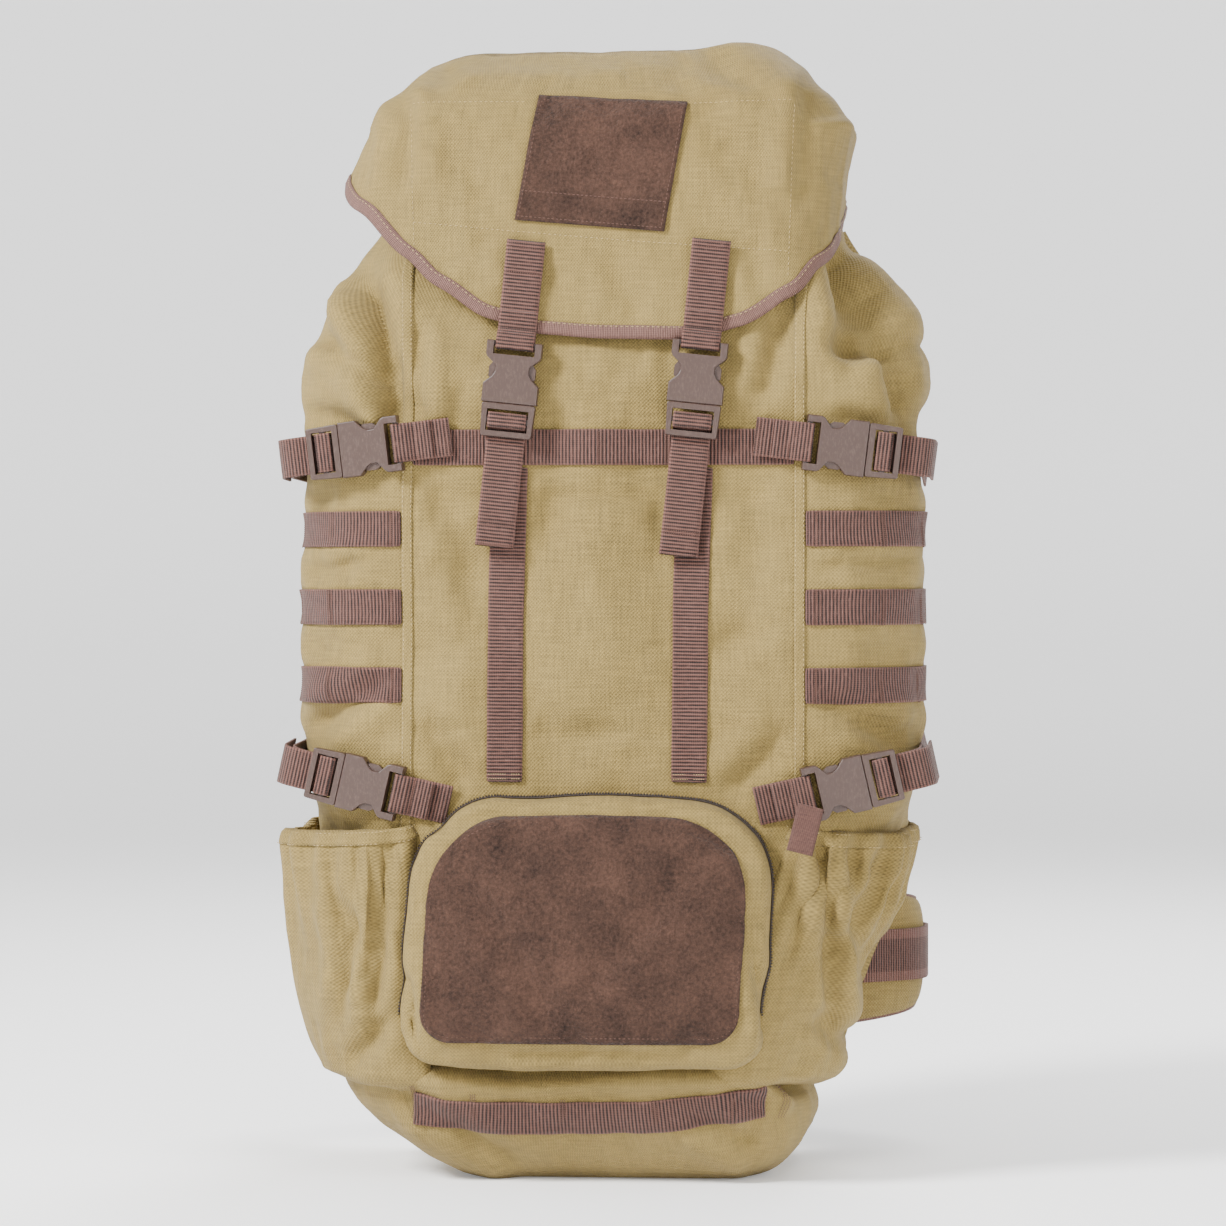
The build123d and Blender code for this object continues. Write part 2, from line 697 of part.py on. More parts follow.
# ---- back: pads, shoulder straps and their webbing ----
pad, pad_width, pad_bottom, pad_top = 16.0, 62.0, 190.0, 440.0
lumbar, lumbar_half, lumbar_bottom, lumbar_top = 20.0, 98.0, 80.0, 180.0
pad_corner, lumbar_corner, pad_edge = 16.0, 24.0, 6.0
with BuildPart() as back_pads:
    with BuildSketch(Plane.XZ.offset(-bag_back - gap)):
        with Locations(*[(x, (pad_bottom + pad_top) / 2) for x in (-strap_x, strap_x)]):
            RectangleRounded(pad_width, pad_top - pad_bottom, pad_corner)
    extrude(amount=-pad)
    with BuildSketch(Plane.XZ.offset(-bag_back - gap)):
        with Locations((0, (lumbar_bottom + lumbar_top) / 2)):
            RectangleRounded(2 * lumbar_half, lumbar_top - lumbar_bottom, lumbar_corner)
    extrude(amount=-lumbar)
    wearer_faces = back_pads.faces().filter_by(Axis.Y)
    rims = wearer_faces.edges().filter_by_position(Axis.Y, bag_back + pad - 2, bag_back + lumbar + 2)
    fillet(rims, radius=pad_edge)
finish(back_pads.part, "back_pads")


def harness_strip(side_points, side_radii, back_points, back_radii, width, thickness, side):
    """A strip that follows one path seen from the side and another seen from behind."""
    with BuildPart() as strip:
        with BuildSketch(Plane.YZ):
            with BuildLine():
                route(side_points, side_radii)
            trace(line_width=thickness)
        extrude(amount=big, both=True)
        with BuildSketch(Plane.XZ):
            with BuildLine():
                route([(side * x, z) for x, z in back_points], back_radii)
            trace(line_width=width)
        extrude(amount=big, both=True, mode=Mode.INTERSECT)
    return strip.part


strap_pad, strap_pad_width = 12.0, 62.0
root_y = bag_back + gap + strap_pad / 2 + 0.6
strap_top = 556.0
rise_side = [(root_y, 458), (root_y + 2, strap_top), (150, strap_top)]
rise_back = [(52, 400), (52, 600)]
fall_side = [(144, strap_top), (188, strap_top), (190, 440), (165, 340), (150, 275)]
fall_back = [(52, 600), (52, 545), (100, 440), (112, 350), (105, 262)]
tail_x, tail_y = 134.0, bag_back + webbing_out + 1
tail_side = [(143.5, 246), (tail_y, 196), (tail_y, 62)]
tail_back = [(104, 275), (104, 250), (126, 190), (tail_x, 50)]
lifter_x, lifter_width, lifter_y = 72.0, 20.0, bag_back + webbing_out
lifter_side = [(lifter_y, 582), (lifter_y, 606), (172, strap_top + strap_pad / 2 + 3.5)]

frame_width, frame_length, frame_thickness = 36.0, 26.0, 6.0
with BuildPart() as ladder_lock:
    with BuildSketch(Plane.XY.offset(-frame_thickness / 2)):
        RectangleRounded(frame_length, frame_width, 4)
    extrude(amount=frame_thickness)
    fillet(ladder_lock.faces().filter_by(Axis.Z).edges(), radius=1)
    with GridLocations(frame_length * 0.42, 0, 2, 1):
        Box(slot + 1, bar_room, frame_thickness + 2, mode=Mode.SUBTRACT)

harness_webbing, ladder_locks = [], []
for side, name in ((-1, "left"), (1, "right")):
    with BuildPart() as shoulder_strap:
        size = (strap_pad_width, strap_pad, side)
        add(harness_strip(rise_side, [24], rise_back, [], *size))
        add(harness_strip(fall_side, [30, 120, 120], fall_back, [60, 90, 120], *size))
    finish(shoulder_strap.part, f"shoulder_strap_{name}")
    tail = harness_strip(tail_side, [60], tail_back, [60, 60], webbing_width, webbing, side)
    lifter_back = [(lifter_x, 500), (lifter_x, 640)]
    lifter = harness_strip(lifter_side, [thread_radius], lifter_back, [], lifter_width, webbing, side)
    harness_webbing += [tail, lifter]
    fall = Vector(-side * 0.08, -0.225, -0.974)
    lock_place = Plane((side * 104.0, 146.8, 260.0), x_dir=fall, z_dir=(0, 0.974, -0.225))
    ladder_locks.append(lock_place.location * ladder_lock.part)
finish(Compound(children=harness_webbing), "harness_webbing")
finish(Compound(children=ladder_locks), "ladder_locks")

# ---- haul loop, and the cloth strip that hinges the lid ----
loop_half, loop_reach, loop_height = 58.0, 18.0, 596.0
loop_y = bag_back + webbing_out
with BuildPart() as haul_loop:
    with BuildSketch(Plane.XY.offset(loop_height - webbing_width / 2)):
        with BuildLine():
            ends = [(-loop_half, loop_y), (-loop_half + 14, loop_y), (-loop_half + 28, loop_y + loop_reach)]
            route([*ends, *[(-x, y) for x, y in reversed(ends)]], [6] * 4)
        trace(line_width=webbing * 1.5)
    extrude(amount=webbing_width)
finish(haul_loop.part, "haul_loop")

lid_hinge_y, lid_hinge_z = lid_back - 2, lid_bottom - 44.0
with BuildPart() as lid_hinge_strip:
    with BuildSketch(Plane.YZ):
        with BuildLine():
            Polyline((lifter_y - 0.2, 614), (lifter_y - 0.2, 632), (lid_hinge_y - 4, lid_hinge_z - 8))
        trace(line_width=1.2)
    extrude(amount=110, both=True)
finish(lid_hinge_strip.part, "lid_hinge_strip")

# ---- sternum strap: a smaller buckle between the shoulder straps ----
sternum_scale, sternum_height = 0.78, 440.0
strap_face = 190 + strap_pad / 2
sternum_y = strap_face + gap - (strap_under - webbing / 2) * sternum_scale
sternum_reach = 110.0  # from the mouth plane, before scaling
sternum_place = Plane((0, sternum_y, sternum_height), x_dir=(-1, 0, 0), z_dir=(0, 1, 0)).location
left_leg = [(socket_length + 12, strap_under), (sternum_reach, strap_under)]
left_half = socket_strap(left_leg, [6])
right_half = plug_strap([(-sternum_reach, strap_under)], [], [(-plug_length - 30, tail_under)], [])
finish(sternum_place * scale(socket, by=sternum_scale), "sternum_socket")
finish(sternum_place * scale(left_half, by=sternum_scale), "sternum_strap_left")
finish(sternum_place * scale(plug, by=sternum_scale), "sternum_plug")
finish(sternum_place * scale(right_half, by=sternum_scale), "sternum_strap_right")

# ---- hip belt: two padded wings on vertical hinges, drawn as the right one, hinge at the origin ----
wing_hinge_x, wing_hinge_y = lumbar_half + 14.0, bag_back + 14.0
wing, wing_bottom, wing_top, wing_tip_top, wing_tip_bottom = 14.0, 82.0, 178.0, 162.0, 98.0
wing_path = [(0, 0), (48, 2), (93, 21), (105, 61), (83, 101)]
wing_radii = [60, 30, 30]
belt_scale, belt_height = 1.45, 130.0
belt_out = wing / 2 + gap + webbing * belt_scale / 2


def beside(points, distance):
    """The same path moved to its right by a distance."""
    moved = []
    for index, point in enumerate(points):
        before, after = points[max(index - 1, 0)], points[min(index + 1, len(points) - 1)]
        into, out = Vector(*point) - Vector(*before), Vector(*after) - Vector(*point)
        into = (into if into.length else out).normalized()
        out = (out if out.length else into).normalized()
        middle = (into + out).normalized()
        right = Vector(middle.Y, -middle.X)
        moved.append(Vector(*point) + right * (distance / middle.dot(out)))
    return moved


with BuildPart() as wing_pad:
    with BuildSketch(Plane.XY.offset(wing_bottom)):
        with BuildLine():
            route(wing_path, wing_radii)
        trace(line_width=wing)
        Circle(wing / 2)
    extrude(amount=wing_top - wing_bottom)
    with BuildSketch(Plane.YZ):
        with BuildLine():
            Polyline(
                (-20, wing_bottom),
                (10, wing_bottom),
                (110, wing_tip_bottom),
                (110, wing_tip_top),
                (10, wing_top),
                (-20, wing_top),
                close=True,
            )
        make_face()
    extrude(amount=big, both=True, mode=Mode.INTERSECT)

belt_line = beside(wing_path, belt_out)
belt_line[-1] += (belt_line[-1] - belt_line[-2]).normalized() * 8
belt_end = belt_line[-1] + Vector(-30, 18)
belt_along = (belt_end - belt_line[-1]).normalized()
belt_right = Vector(belt_along.Y, -belt_along.X)
belt_radii = [radius + belt_out for radius in wing_radii]


def belt_strip(path_end):
    with BuildPart() as strip:
        with BuildSketch(Plane.XY.offset(belt_height - webbing_width * belt_scale / 2)):
            with BuildLine():
                route([*belt_line, path_end], [*belt_radii, 12])
            trace(line_width=webbing * belt_scale)
        extrude(amount=webbing_width * belt_scale)
    return strip.part


raised = Vector(0, 0, belt_height)
socket_root = (socket_length + 8) * belt_scale
socket_mouth = belt_end + belt_along * socket_root + raised
belt_socket_place = Plane(socket_mouth, x_dir=-belt_along, z_dir=belt_right).location
belt_socket_leg = socket_strap([(socket_length + 16, 0)], [])
plug_mouth = belt_end + belt_along * (plug_length + 10) * belt_scale + raised
plug_mouth -= belt_right * strap_under * belt_scale
belt_plug_place = Plane(plug_mouth, x_dir=belt_along, z_dir=belt_right).location
belt_plug_leg = plug_strap([(-plug_length - 18, strap_under)], [], [(-plug_length - 24, tail_under)], [])

belt_strip_part = belt_strip(belt_end)
socket_end = belt_socket_place * scale(belt_socket_leg, by=belt_scale)
plug_end = belt_plug_place * scale(belt_plug_leg, by=belt_scale)
with BuildPart() as socket_webbing:
    add(belt_strip_part)
    add(socket_end)
with BuildPart() as plug_webbing:
    add(belt_strip_part)
    add(plug_end)

right_turn = 14.0  # the right wing rests folded in by this much
right_hinge = Location((wing_hinge_x, wing_hinge_y, 0), (0, 0, right_turn))
left_hinge = Location((-wing_hinge_x, wing_hinge_y, 0))
belt_socket = belt_socket_place * scale(socket, by=belt_scale)
belt_plug = belt_plug_place * scale(plug, by=belt_scale)
finish(right_hinge * wing_pad.part, "belt_wing_right")
finish(right_hinge * plug_webbing.part, "belt_webbing_right")
finish(right_hinge * belt_plug, "belt_plug")
finish(left_hinge * mirror(wing_pad.part, about=Plane.YZ), "belt_wing_left")
finish(left_hinge * mirror(socket_webbing.part, about=Plane.YZ), "belt_webbing_left")
finish(left_hinge * mirror(belt_socket, about=Plane.YZ), "belt_socket")
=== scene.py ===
import math

import bmesh
import bpy
import numpy as np
from mathutils import Matrix, Vector, noise
from mathutils.bvhtree import BVHTree


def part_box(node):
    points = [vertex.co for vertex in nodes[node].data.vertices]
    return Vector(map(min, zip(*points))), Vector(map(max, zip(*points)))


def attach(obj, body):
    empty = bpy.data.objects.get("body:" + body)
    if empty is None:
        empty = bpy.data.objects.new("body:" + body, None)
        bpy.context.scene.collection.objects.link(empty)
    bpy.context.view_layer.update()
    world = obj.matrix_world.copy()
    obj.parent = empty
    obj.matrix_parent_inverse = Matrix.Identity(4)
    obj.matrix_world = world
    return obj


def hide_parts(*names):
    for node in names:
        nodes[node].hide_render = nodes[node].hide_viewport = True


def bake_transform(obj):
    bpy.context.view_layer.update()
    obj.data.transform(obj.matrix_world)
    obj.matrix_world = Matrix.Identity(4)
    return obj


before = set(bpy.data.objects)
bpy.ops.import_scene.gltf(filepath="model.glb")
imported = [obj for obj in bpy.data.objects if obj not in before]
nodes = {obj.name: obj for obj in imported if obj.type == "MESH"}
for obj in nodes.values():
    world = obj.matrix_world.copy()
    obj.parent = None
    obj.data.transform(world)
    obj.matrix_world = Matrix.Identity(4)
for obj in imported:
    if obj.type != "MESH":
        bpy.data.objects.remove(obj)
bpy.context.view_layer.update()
mm = 0.001
print("frame loaded:", len(nodes), "nodes")


def ease(low, high, value):
    share = min(max((value - low) / (high - low), 0.0), 1.0)
    return share * share * (3 - 2 * share)


def mix(a, b, share):
    return a + (b - a) * share


def paint(red, green, blue):
    # screen colour to the linear values that shaders take
    return tuple(((c / 255 + 0.055) / 1.055) ** 2.4 for c in (red, green, blue)) + (1.0,)


def keepMesh(bm, name, material=None, smooth=True):
    mesh = bpy.data.meshes.new(name)
    bm.to_mesh(mesh)
    bm.free()
    for face in mesh.polygons:
        face.use_smooth = smooth
    piece = bpy.data.objects.new(name, mesh)
    bpy.context.scene.collection.objects.link(piece)
    if material:
        mesh.materials.append(material)
    return piece


def bake(piece):
    # the mesh as its modifiers leave it
    shown = piece.evaluated_get(bpy.context.evaluated_depsgraph_get())
    mesh = bpy.data.meshes.new_from_object(shown)
    piece.modifiers.clear()
    piece.data = mesh
    mesh.name = piece.name
    for face in mesh.polygons:
        face.use_smooth = True
    return piece


def refine(piece, levels=1):
    subdivision = piece.modifiers.new("subdivision", "SUBSURF")
    subdivision.levels = subdivision.render_levels = levels
    return bake(piece)


def coordinates(piece):
    spots = np.empty(len(piece.data.vertices) * 3)
    piece.data.vertices.foreach_get("co", spots)
    normals = np.empty(len(piece.data.vertices) * 3)
    piece.data.vertices.foreach_get("normal", normals)
    return spots.reshape(-1, 3), normals.reshape(-1, 3)


def setCoordinates(piece, spots):
    piece.data.vertices.foreach_set("co", spots.astype(np.float32).ravel())
    piece.data.update()


def surfaceOf(piece):
    return BVHTree.FromPolygons(
        [v.co.copy() for v in piece.data.vertices], [tuple(p.vertices) for p in piece.data.polygons]
    )


def runLengths(spots):
    # how far along a line of points each of them lies
    lengths = [0.0]
    for a, b in zip(spots, spots[1:]):
        lengths.append(lengths[-1] + (b - a).length)
    return lengths


def headingAt(spots, index):
    # the direction of a line of points at one of them
    return (spots[min(index + 1, len(spots) - 1)] - spots[max(index - 1, 0)]).normalized()


def placeGrid(bm, cloth, where):
    # where holds each vertex's place and its spot on the flat cloth
    for face in bm.faces:
        for loop in face.loops:
            loop[cloth].uv = where[loop.vert][1]
    for vert, (spot, _) in where.items():
        vert.co = spot


def sheetFrom(across, along, place, merge=True):
    # a flat grid whose points are moved to place(u, v), u and v from 0 to 1
    # place also gives the cloth coordinates, in metres
    bm = bmesh.new()
    bmesh.ops.create_grid(bm, x_segments=across, y_segments=along, size=0.5)
    cloth = bm.loops.layers.uv.new("cloth")
    placeGrid(bm, cloth, {vert: place(vert.co.x + 0.5, vert.co.y + 0.5) for vert in bm.verts})
    if merge:
        bmesh.ops.remove_doubles(bm, verts=bm.verts, dist=0.02 * mm)
    return bm


def faceOut(bm):
    bmesh.ops.recalc_face_normals(bm, faces=bm.faces)
    return bm


def clothFromPosition(bm):
    # cloth coordinates from whichever way each face looks
    cloth = bm.loops.layers.uv.verify()
    bm.normal_update()
    for face in bm.faces:
        n = face.normal
        for loop in face.loops:
            c = loop.vert.co
            if abs(n.y) >= abs(n.x) and abs(n.y) >= abs(n.z):
                loop[cloth].uv = (c.x, c.z)
            elif abs(n.x) >= abs(n.z):
                loop[cloth].uv = (c.y, c.z)
            else:
                loop[cloth].uv = (c.x, c.y)


viewPoint = {
    "azimuth": 4.5,
    "elevation": 0.5,
    "width": 0.828,  # what the frame takes in at the bag, in metres
    "lens": 130,
    "middle": (-0.003, 0.0, 0.3715),
}
studio = {"key": 235, "fill": 40, "rim": 70, "under": 5, "world": 0.78}


def makeCamera():
    camera = bpy.data.objects.new("camera", bpy.data.cameras.new("camera"))
    bpy.context.scene.collection.objects.link(camera)
    camera.data.lens = viewPoint["lens"]
    camera.data.sensor_width = 36
    camera.data.clip_start, camera.data.clip_end = 0.1, 50
    turn, rise = math.radians(viewPoint["azimuth"]), math.radians(viewPoint["elevation"])
    back = Vector((math.sin(turn) * math.cos(rise), -math.cos(turn) * math.cos(rise), math.sin(rise)))
    camera.location = Vector(viewPoint["middle"]) + back * (viewPoint["width"] / 36 * viewPoint["lens"])
    camera.rotation_euler = (-back).to_track_quat("-Z", "Y").to_euler()
    bpy.context.scene.camera = camera


def makeFloor():
    # a floor that sweeps up into a wall all the way round, so that every view has a plain ground
    profile = [(0, 0), (2, 0), (4, 0), (4.5, 0.06), (4.9, 0.26), (5.1, 0.65), (5.15, 2.1)]
    bm = bmesh.new()
    row = [bm.verts.new((radius, 0, z - 0.0004)) for radius, z in profile]
    edges = [bm.edges.new(pair) for pair in zip(row, row[1:])]
    turned = {"cent": (0, 0, 0), "axis": (0, 0, 1), "angle": 2 * math.pi, "steps": 96, "use_merge": True}
    bmesh.ops.spin(bm, geom=row + edges, **turned)
    bmesh.ops.remove_doubles(bm, verts=bm.verts[:], dist=0.0001)
    bm.normal_update()
    for face in bm.faces:
        if face.normal.dot(Vector((0, 0, 1.0)) - face.calc_center_median()) < 0:
            face.normal_flip()
    floor = keepMesh(bm, "floor")
    material = bpy.data.materials.new("paleFloor")
    material.use_nodes = True
    shader = material.node_tree.nodes["Principled BSDF"]
    shader.inputs["Base Color"].default_value = paint(252, 252, 252)
    shader.inputs["Roughness"].default_value = 0.9
    shader.inputs["Emission Color"].default_value = paint(252, 252, 252)
    shader.inputs["Emission Strength"].default_value = 0.16
    floor.data.materials.append(material)


def makeLight(name, spot, size, power):
    lamp = bpy.data.lights.new(name, "AREA")
    lamp.shape, lamp.size, lamp.energy = "DISK", size, power
    light = bpy.data.objects.new(name, lamp)
    light.location = spot
    light.rotation_euler = (Vector((0, 0, 0.36)) - Vector(spot)).to_track_quat("-Z", "Y").to_euler()
    bpy.context.scene.collection.objects.link(light)


makeCamera()
makeFloor()
makeLight("key", (-1.9, -1.7, 2.1), 0.9, studio["key"])
makeLight("fill", (1.9, -1.9, 1.0), 1.6, studio["fill"])
makeLight("rim", (0.6, 1.7, 2.2), 1.4, studio["rim"])
makeLight("under", (0.0, -2.2, 0.25), 1.2, studio["under"])
world = bpy.data.worlds.new("world")
bpy.context.scene.world = world
world.use_nodes = True
world.node_tree.nodes["Background"].inputs["Color"].default_value = (1, 1, 1, 1)
world.node_tree.nodes["Background"].inputs["Strength"].default_value = studio["world"]
print("camera, floor and light made")


def newGroup(name, takes, gives):
    group = bpy.data.node_groups.new(name, "ShaderNodeTree")
    for label, kind, value in takes:
        socket = group.interface.new_socket(label, in_out="INPUT", socket_type=kind)
        if value is not None:
            socket.default_value = value
    for label, kind in gives:
        group.interface.new_socket(label, in_out="OUTPUT", socket_type=kind)
    return group, group.nodes.new("NodeGroupInput"), group.nodes.new("NodeGroupOutput")


def put(tree, value, socket):
    if isinstance(value, bpy.types.NodeSocket):
        tree.links.new(value, socket)
    else:
        socket.default_value = value


def calc(tree, operation, *values):
    node = tree.nodes.new("ShaderNodeMath")
    node.operation = operation
    for value, socket in zip(values, node.inputs):
        put(tree, value, socket)
    return node.outputs[0]


def cloudy(tree, vector, scale, detail=3.0, roughness=0.55):
    node = tree.nodes.new("ShaderNodeTexNoise")
    put(tree, vector, node.inputs["Vector"])
    put(tree, scale, node.inputs["Scale"])
    node.inputs["Detail"].default_value = detail
    node.inputs["Roughness"].default_value = roughness
    return node.outputs["Fac"]


def stretched(tree, vector, scale):
    node = tree.nodes.new("ShaderNodeVectorMath")
    node.operation = "MULTIPLY"
    tree.links.new(vector, node.inputs[0])
    node.inputs[1].default_value = scale
    return node.outputs[0]


def spread(tree, value, low, high, newLow=0.0, newHigh=1.0):
    node = tree.nodes.new("ShaderNodeMapRange")
    put(tree, value, node.inputs["Value"])
    for label, number in (("From Min", low), ("From Max", high), ("To Min", newLow), ("To Max", newHigh)):
        node.inputs[label].default_value = number
    return node.outputs["Result"]


def makeWeaveGroup():
    # plain weave: warp and weft cross over and under, every thread a little different
    tree, takes, gives = newGroup(
        "plainWeave",
        [
            ("Cloth", "NodeSocketVector", None), ("Threads", "NodeSocketFloat", 900.0),
            ("Slub", "NodeSocketFloat", 0.5),
        ],
        [("Height", "NodeSocketFloat"), ("Tone", "NodeSocketFloat")],
    )
    apart = tree.nodes.new("ShaderNodeSeparateXYZ")
    tree.links.new(takes.outputs["Cloth"], apart.inputs[0])
    turns = calc(tree, "MULTIPLY", takes.outputs["Threads"], math.pi)
    warp = calc(tree, "SINE", calc(tree, "MULTIPLY", apart.outputs["X"], turns))
    weft = calc(tree, "SINE", calc(tree, "MULTIPLY", apart.outputs["Y"], turns))
    crossing = calc(tree, "MULTIPLY", warp, weft)
    warpSlub = cloudy(tree, stretched(tree, takes.outputs["Cloth"], (700, 45, 1)), 1.0, 2.0)
    weftSlub = cloudy(tree, stretched(tree, takes.outputs["Cloth"], (45, 700, 1)), 1.0, 2.0)
    slub = calc(
        tree, "MULTIPLY", calc(tree, "SUBTRACT", calc(tree, "ADD", warpSlub, weftSlub), 1.0),
        takes.outputs["Slub"],
    )
    height = calc(tree, "ADD", calc(tree, "MULTIPLY", crossing, 0.5), slub)
    tree.links.new(calc(tree, "ADD", height, 0.5), gives.inputs["Height"])
    tone = calc(tree, "ADD", calc(tree, "MULTIPLY", crossing, 0.22), calc(tree, "MULTIPLY", slub, 1.1))
    tree.links.new(calc(tree, "ADD", tone, 0.5), gives.inputs["Tone"])
    return tree


def makeRibGroup():
    # woven tape: ribs across it, a fine twill between them and firmer edges; the Tone it gives is painted
    # shade in the grooves and painted highlight on the rib tops and firm edges, mixed with real uneven yarn
    tree, takes, gives = newGroup(
        "wovenTapeAndPaintedRibShade",
        [
            ("Cloth", "NodeSocketVector", None), ("Ribs", "NodeSocketFloat", 460.0),
            ("Width", "NodeSocketFloat", 0.025),
        ],
        [("Height", "NodeSocketFloat"), ("Tone", "NodeSocketFloat")],
    )
    apart = tree.nodes.new("ShaderNodeSeparateXYZ")
    tree.links.new(takes.outputs["Cloth"], apart.inputs[0])
    turns = calc(tree, "MULTIPLY", takes.outputs["Ribs"], 2 * math.pi)
    rib = calc(tree, "SINE", calc(tree, "MULTIPLY", apart.outputs["Y"], turns))
    column = calc(tree, "SINE", calc(tree, "MULTIPLY", apart.outputs["X"], 2 * math.pi * 820))
    twill = calc(tree, "MULTIPLY", column, 0.3)
    edge = calc(tree, "ABSOLUTE", calc(tree, "DIVIDE", apart.outputs["X"], takes.outputs["Width"]))
    firm = spread(tree, edge, 0.44, 0.47)
    uneven = cloudy(tree, stretched(tree, takes.outputs["Cloth"], (120, 900, 1)), 1.0, 3.0)
    height = calc(tree, "ADD", calc(tree, "ADD", rib, twill), calc(tree, "MULTIPLY", firm, 0.8))
    tree.links.new(calc(tree, "ADD", calc(tree, "MULTIPLY", height, 0.5), uneven), gives.inputs["Height"])
    # painted rib shade and highlight: the colour tone follows the rib height, darker in the grooves and
    # lighter on the tops and edges, plus real unevenness
    tone = calc(tree, "ADD", calc(tree, "MULTIPLY", height, 0.4), calc(tree, "MULTIPLY", uneven, 0.7))
    tree.links.new(calc(tree, "ADD", tone, 0.1), gives.inputs["Tone"])
    return tree


def makeFadeGroup():
    # uneven fading and handling dust over the whole object
    tree, takes, gives = newGroup(
        "fading",
        [
            ("Place", "NodeSocketVector", None), ("Patch", "NodeSocketFloat", 7.0),
            ("Speck", "NodeSocketFloat", 90.0),
        ],
        [("Fade", "NodeSocketFloat"), ("Dust", "NodeSocketFloat")],
    )
    broad = cloudy(tree, takes.outputs["Place"], takes.outputs["Patch"], 4.0)
    fine = cloudy(tree, takes.outputs["Place"], takes.outputs["Speck"], 5.0, 0.7)
    fade = calc(
        tree, "ADD", calc(tree, "MULTIPLY", spread(tree, broad, 0.3, 0.7), 0.7),
        calc(tree, "MULTIPLY", fine, 0.3),
    )
    tree.links.new(fade, gives.inputs["Fade"])
    tree.links.new(spread(tree, fine, 0.56, 0.78), gives.inputs["Dust"])
    return tree


def makeFuzzGroup():
    # tangled loops of a hook and loop panel
    tree, takes, gives = newGroup(
        "loopFuzz",
        [("Place", "NodeSocketVector", None), ("Loops", "NodeSocketFloat", 520.0)],
        [("Height", "NodeSocketFloat"), ("Tone", "NodeSocketFloat")],
    )
    tangle = cloudy(tree, takes.outputs["Place"], takes.outputs["Loops"], 4.0, 0.75)
    tufts = tree.nodes.new("ShaderNodeTexVoronoi")
    tree.links.new(takes.outputs["Place"], tufts.inputs["Vector"])
    tree.links.new(calc(tree, "MULTIPLY", takes.outputs["Loops"], 1.3), tufts.inputs["Scale"])
    wear = cloudy(tree, takes.outputs["Place"], 26.0, 5.0, 0.7)
    height = calc(tree, "SUBTRACT", tangle, calc(tree, "MULTIPLY", tufts.outputs["Distance"], 0.35))
    tree.links.new(height, gives.inputs["Height"])
    tone = calc(
        tree, "ADD", calc(tree, "MULTIPLY", spread(tree, tangle, 0.3, 0.7), 0.55),
        calc(tree, "MULTIPLY", spread(tree, wear, 0.3, 0.7), 0.45),
    )
    tree.links.new(tone, gives.inputs["Tone"])
    return tree


def makeGrainGroup():
    # fine spark-eroded grain of moulded plastic, with scuffs
    tree, takes, gives = newGroup(
        "mouldedGrain",
        [("Place", "NodeSocketVector", None), ("Grain", "NodeSocketFloat", 1500.0)],
        [("Height", "NodeSocketFloat"), ("Scuff", "NodeSocketFloat")],
    )
    grain = cloudy(tree, takes.outputs["Place"], takes.outputs["Grain"], 2.0)
    scratch = cloudy(tree, stretched(tree, takes.outputs["Place"], (900, 160, 300)), 1.0, 4.0, 0.7)
    tree.links.new(calc(tree, "ADD", grain, calc(tree, "MULTIPLY", scratch, 0.4)), gives.inputs["Height"])
    tree.links.new(spread(tree, scratch, 0.5, 0.72), gives.inputs["Scuff"])
    return tree


weaveGroup = makeWeaveGroup()
ribsAndPaintedShadeGroup = makeRibGroup()
fadeGroup = makeFadeGroup()
fuzzGroup = makeFuzzGroup()
grainGroup = makeGrainGroup()


def startMaterial(name, roughness):
    material = bpy.data.materials.new(name)
    material.use_nodes = True
    shader = material.node_tree.nodes["Principled BSDF"]
    shader.inputs["Roughness"].default_value = roughness
    return material, material.node_tree, shader


def place(tree, output="Object"):
    return tree.nodes.new("ShaderNodeTexCoord").outputs[output]


def clothMap(tree):
    node = tree.nodes.new("ShaderNodeUVMap")
    node.uv_map = "cloth"
    return node.outputs[0]


def effect(tree, group, **values):
    node = tree.nodes.new("ShaderNodeGroup")
    node.node_tree = group
    for label, value in values.items():
        put(tree, value, node.inputs[label])
    return node.outputs


def blendColour(tree, factor, low, high, kind="MIX"):
    node = tree.nodes.new("ShaderNodeMix")
    node.data_type, node.blend_type = "RGBA", kind
    put(tree, factor, node.inputs[0])
    put(tree, low, node.inputs[6])
    put(tree, high, node.inputs[7])
    return node.outputs[2]


def bump(tree, shader, height, distance, strength=1.0):
    node = tree.nodes.new("ShaderNodeBump")
    node.inputs["Distance"].default_value = distance
    node.inputs["Strength"].default_value = strength
    tree.links.new(height, node.inputs["Height"])
    tree.links.new(node.outputs[0], shader.inputs["Normal"])


canvasLook = {
    "dark": (44, 34, 13), "light": (146, 123, 66), "faded": (152, 132, 80), "threads": 820.0,
    "depth": 0.45 * mm,
}


def makeCanvas(name, look, sheen=0.04):
    material, tree, shader = startMaterial(name, 0.86)
    weave = effect(tree, weaveGroup, Cloth=clothMap(tree), Threads=look["threads"], Slub=0.55)
    fade = effect(tree, fadeGroup, Place=place(tree), Patch=6.0, Speck=120.0)
    woven = blendColour(tree, weave["Tone"], paint(*look["dark"]), paint(*look["light"]))
    share = calc(tree, "MULTIPLY", fade["Fade"], 0.42)
    faded = blendColour(tree, share, woven, paint(*look["faded"]))
    tree.links.new(faded, shader.inputs["Base Color"])
    rough = spread(tree, fade["Dust"], 0, 1, 0.82, 0.95)
    tree.links.new(rough, shader.inputs["Roughness"])
    shader.inputs["Sheen Weight"].default_value = sheen
    shader.inputs["Sheen Roughness"].default_value = 0.6
    shader.inputs["Specular IOR Level"].default_value = 0.25
    bump(tree, shader, weave["Height"], look["depth"], 0.9)
    return material


# dark to light spans painted shade in the rib grooves up to painted highlight on the rib tops, around the
# tape's own brown
webbingLook = {
    "dark": (11, 6, 5), "light": (108, 72, 62), "dust": (118, 84, 74), "ribs": 430.0, "depth": 0.6 * mm
}


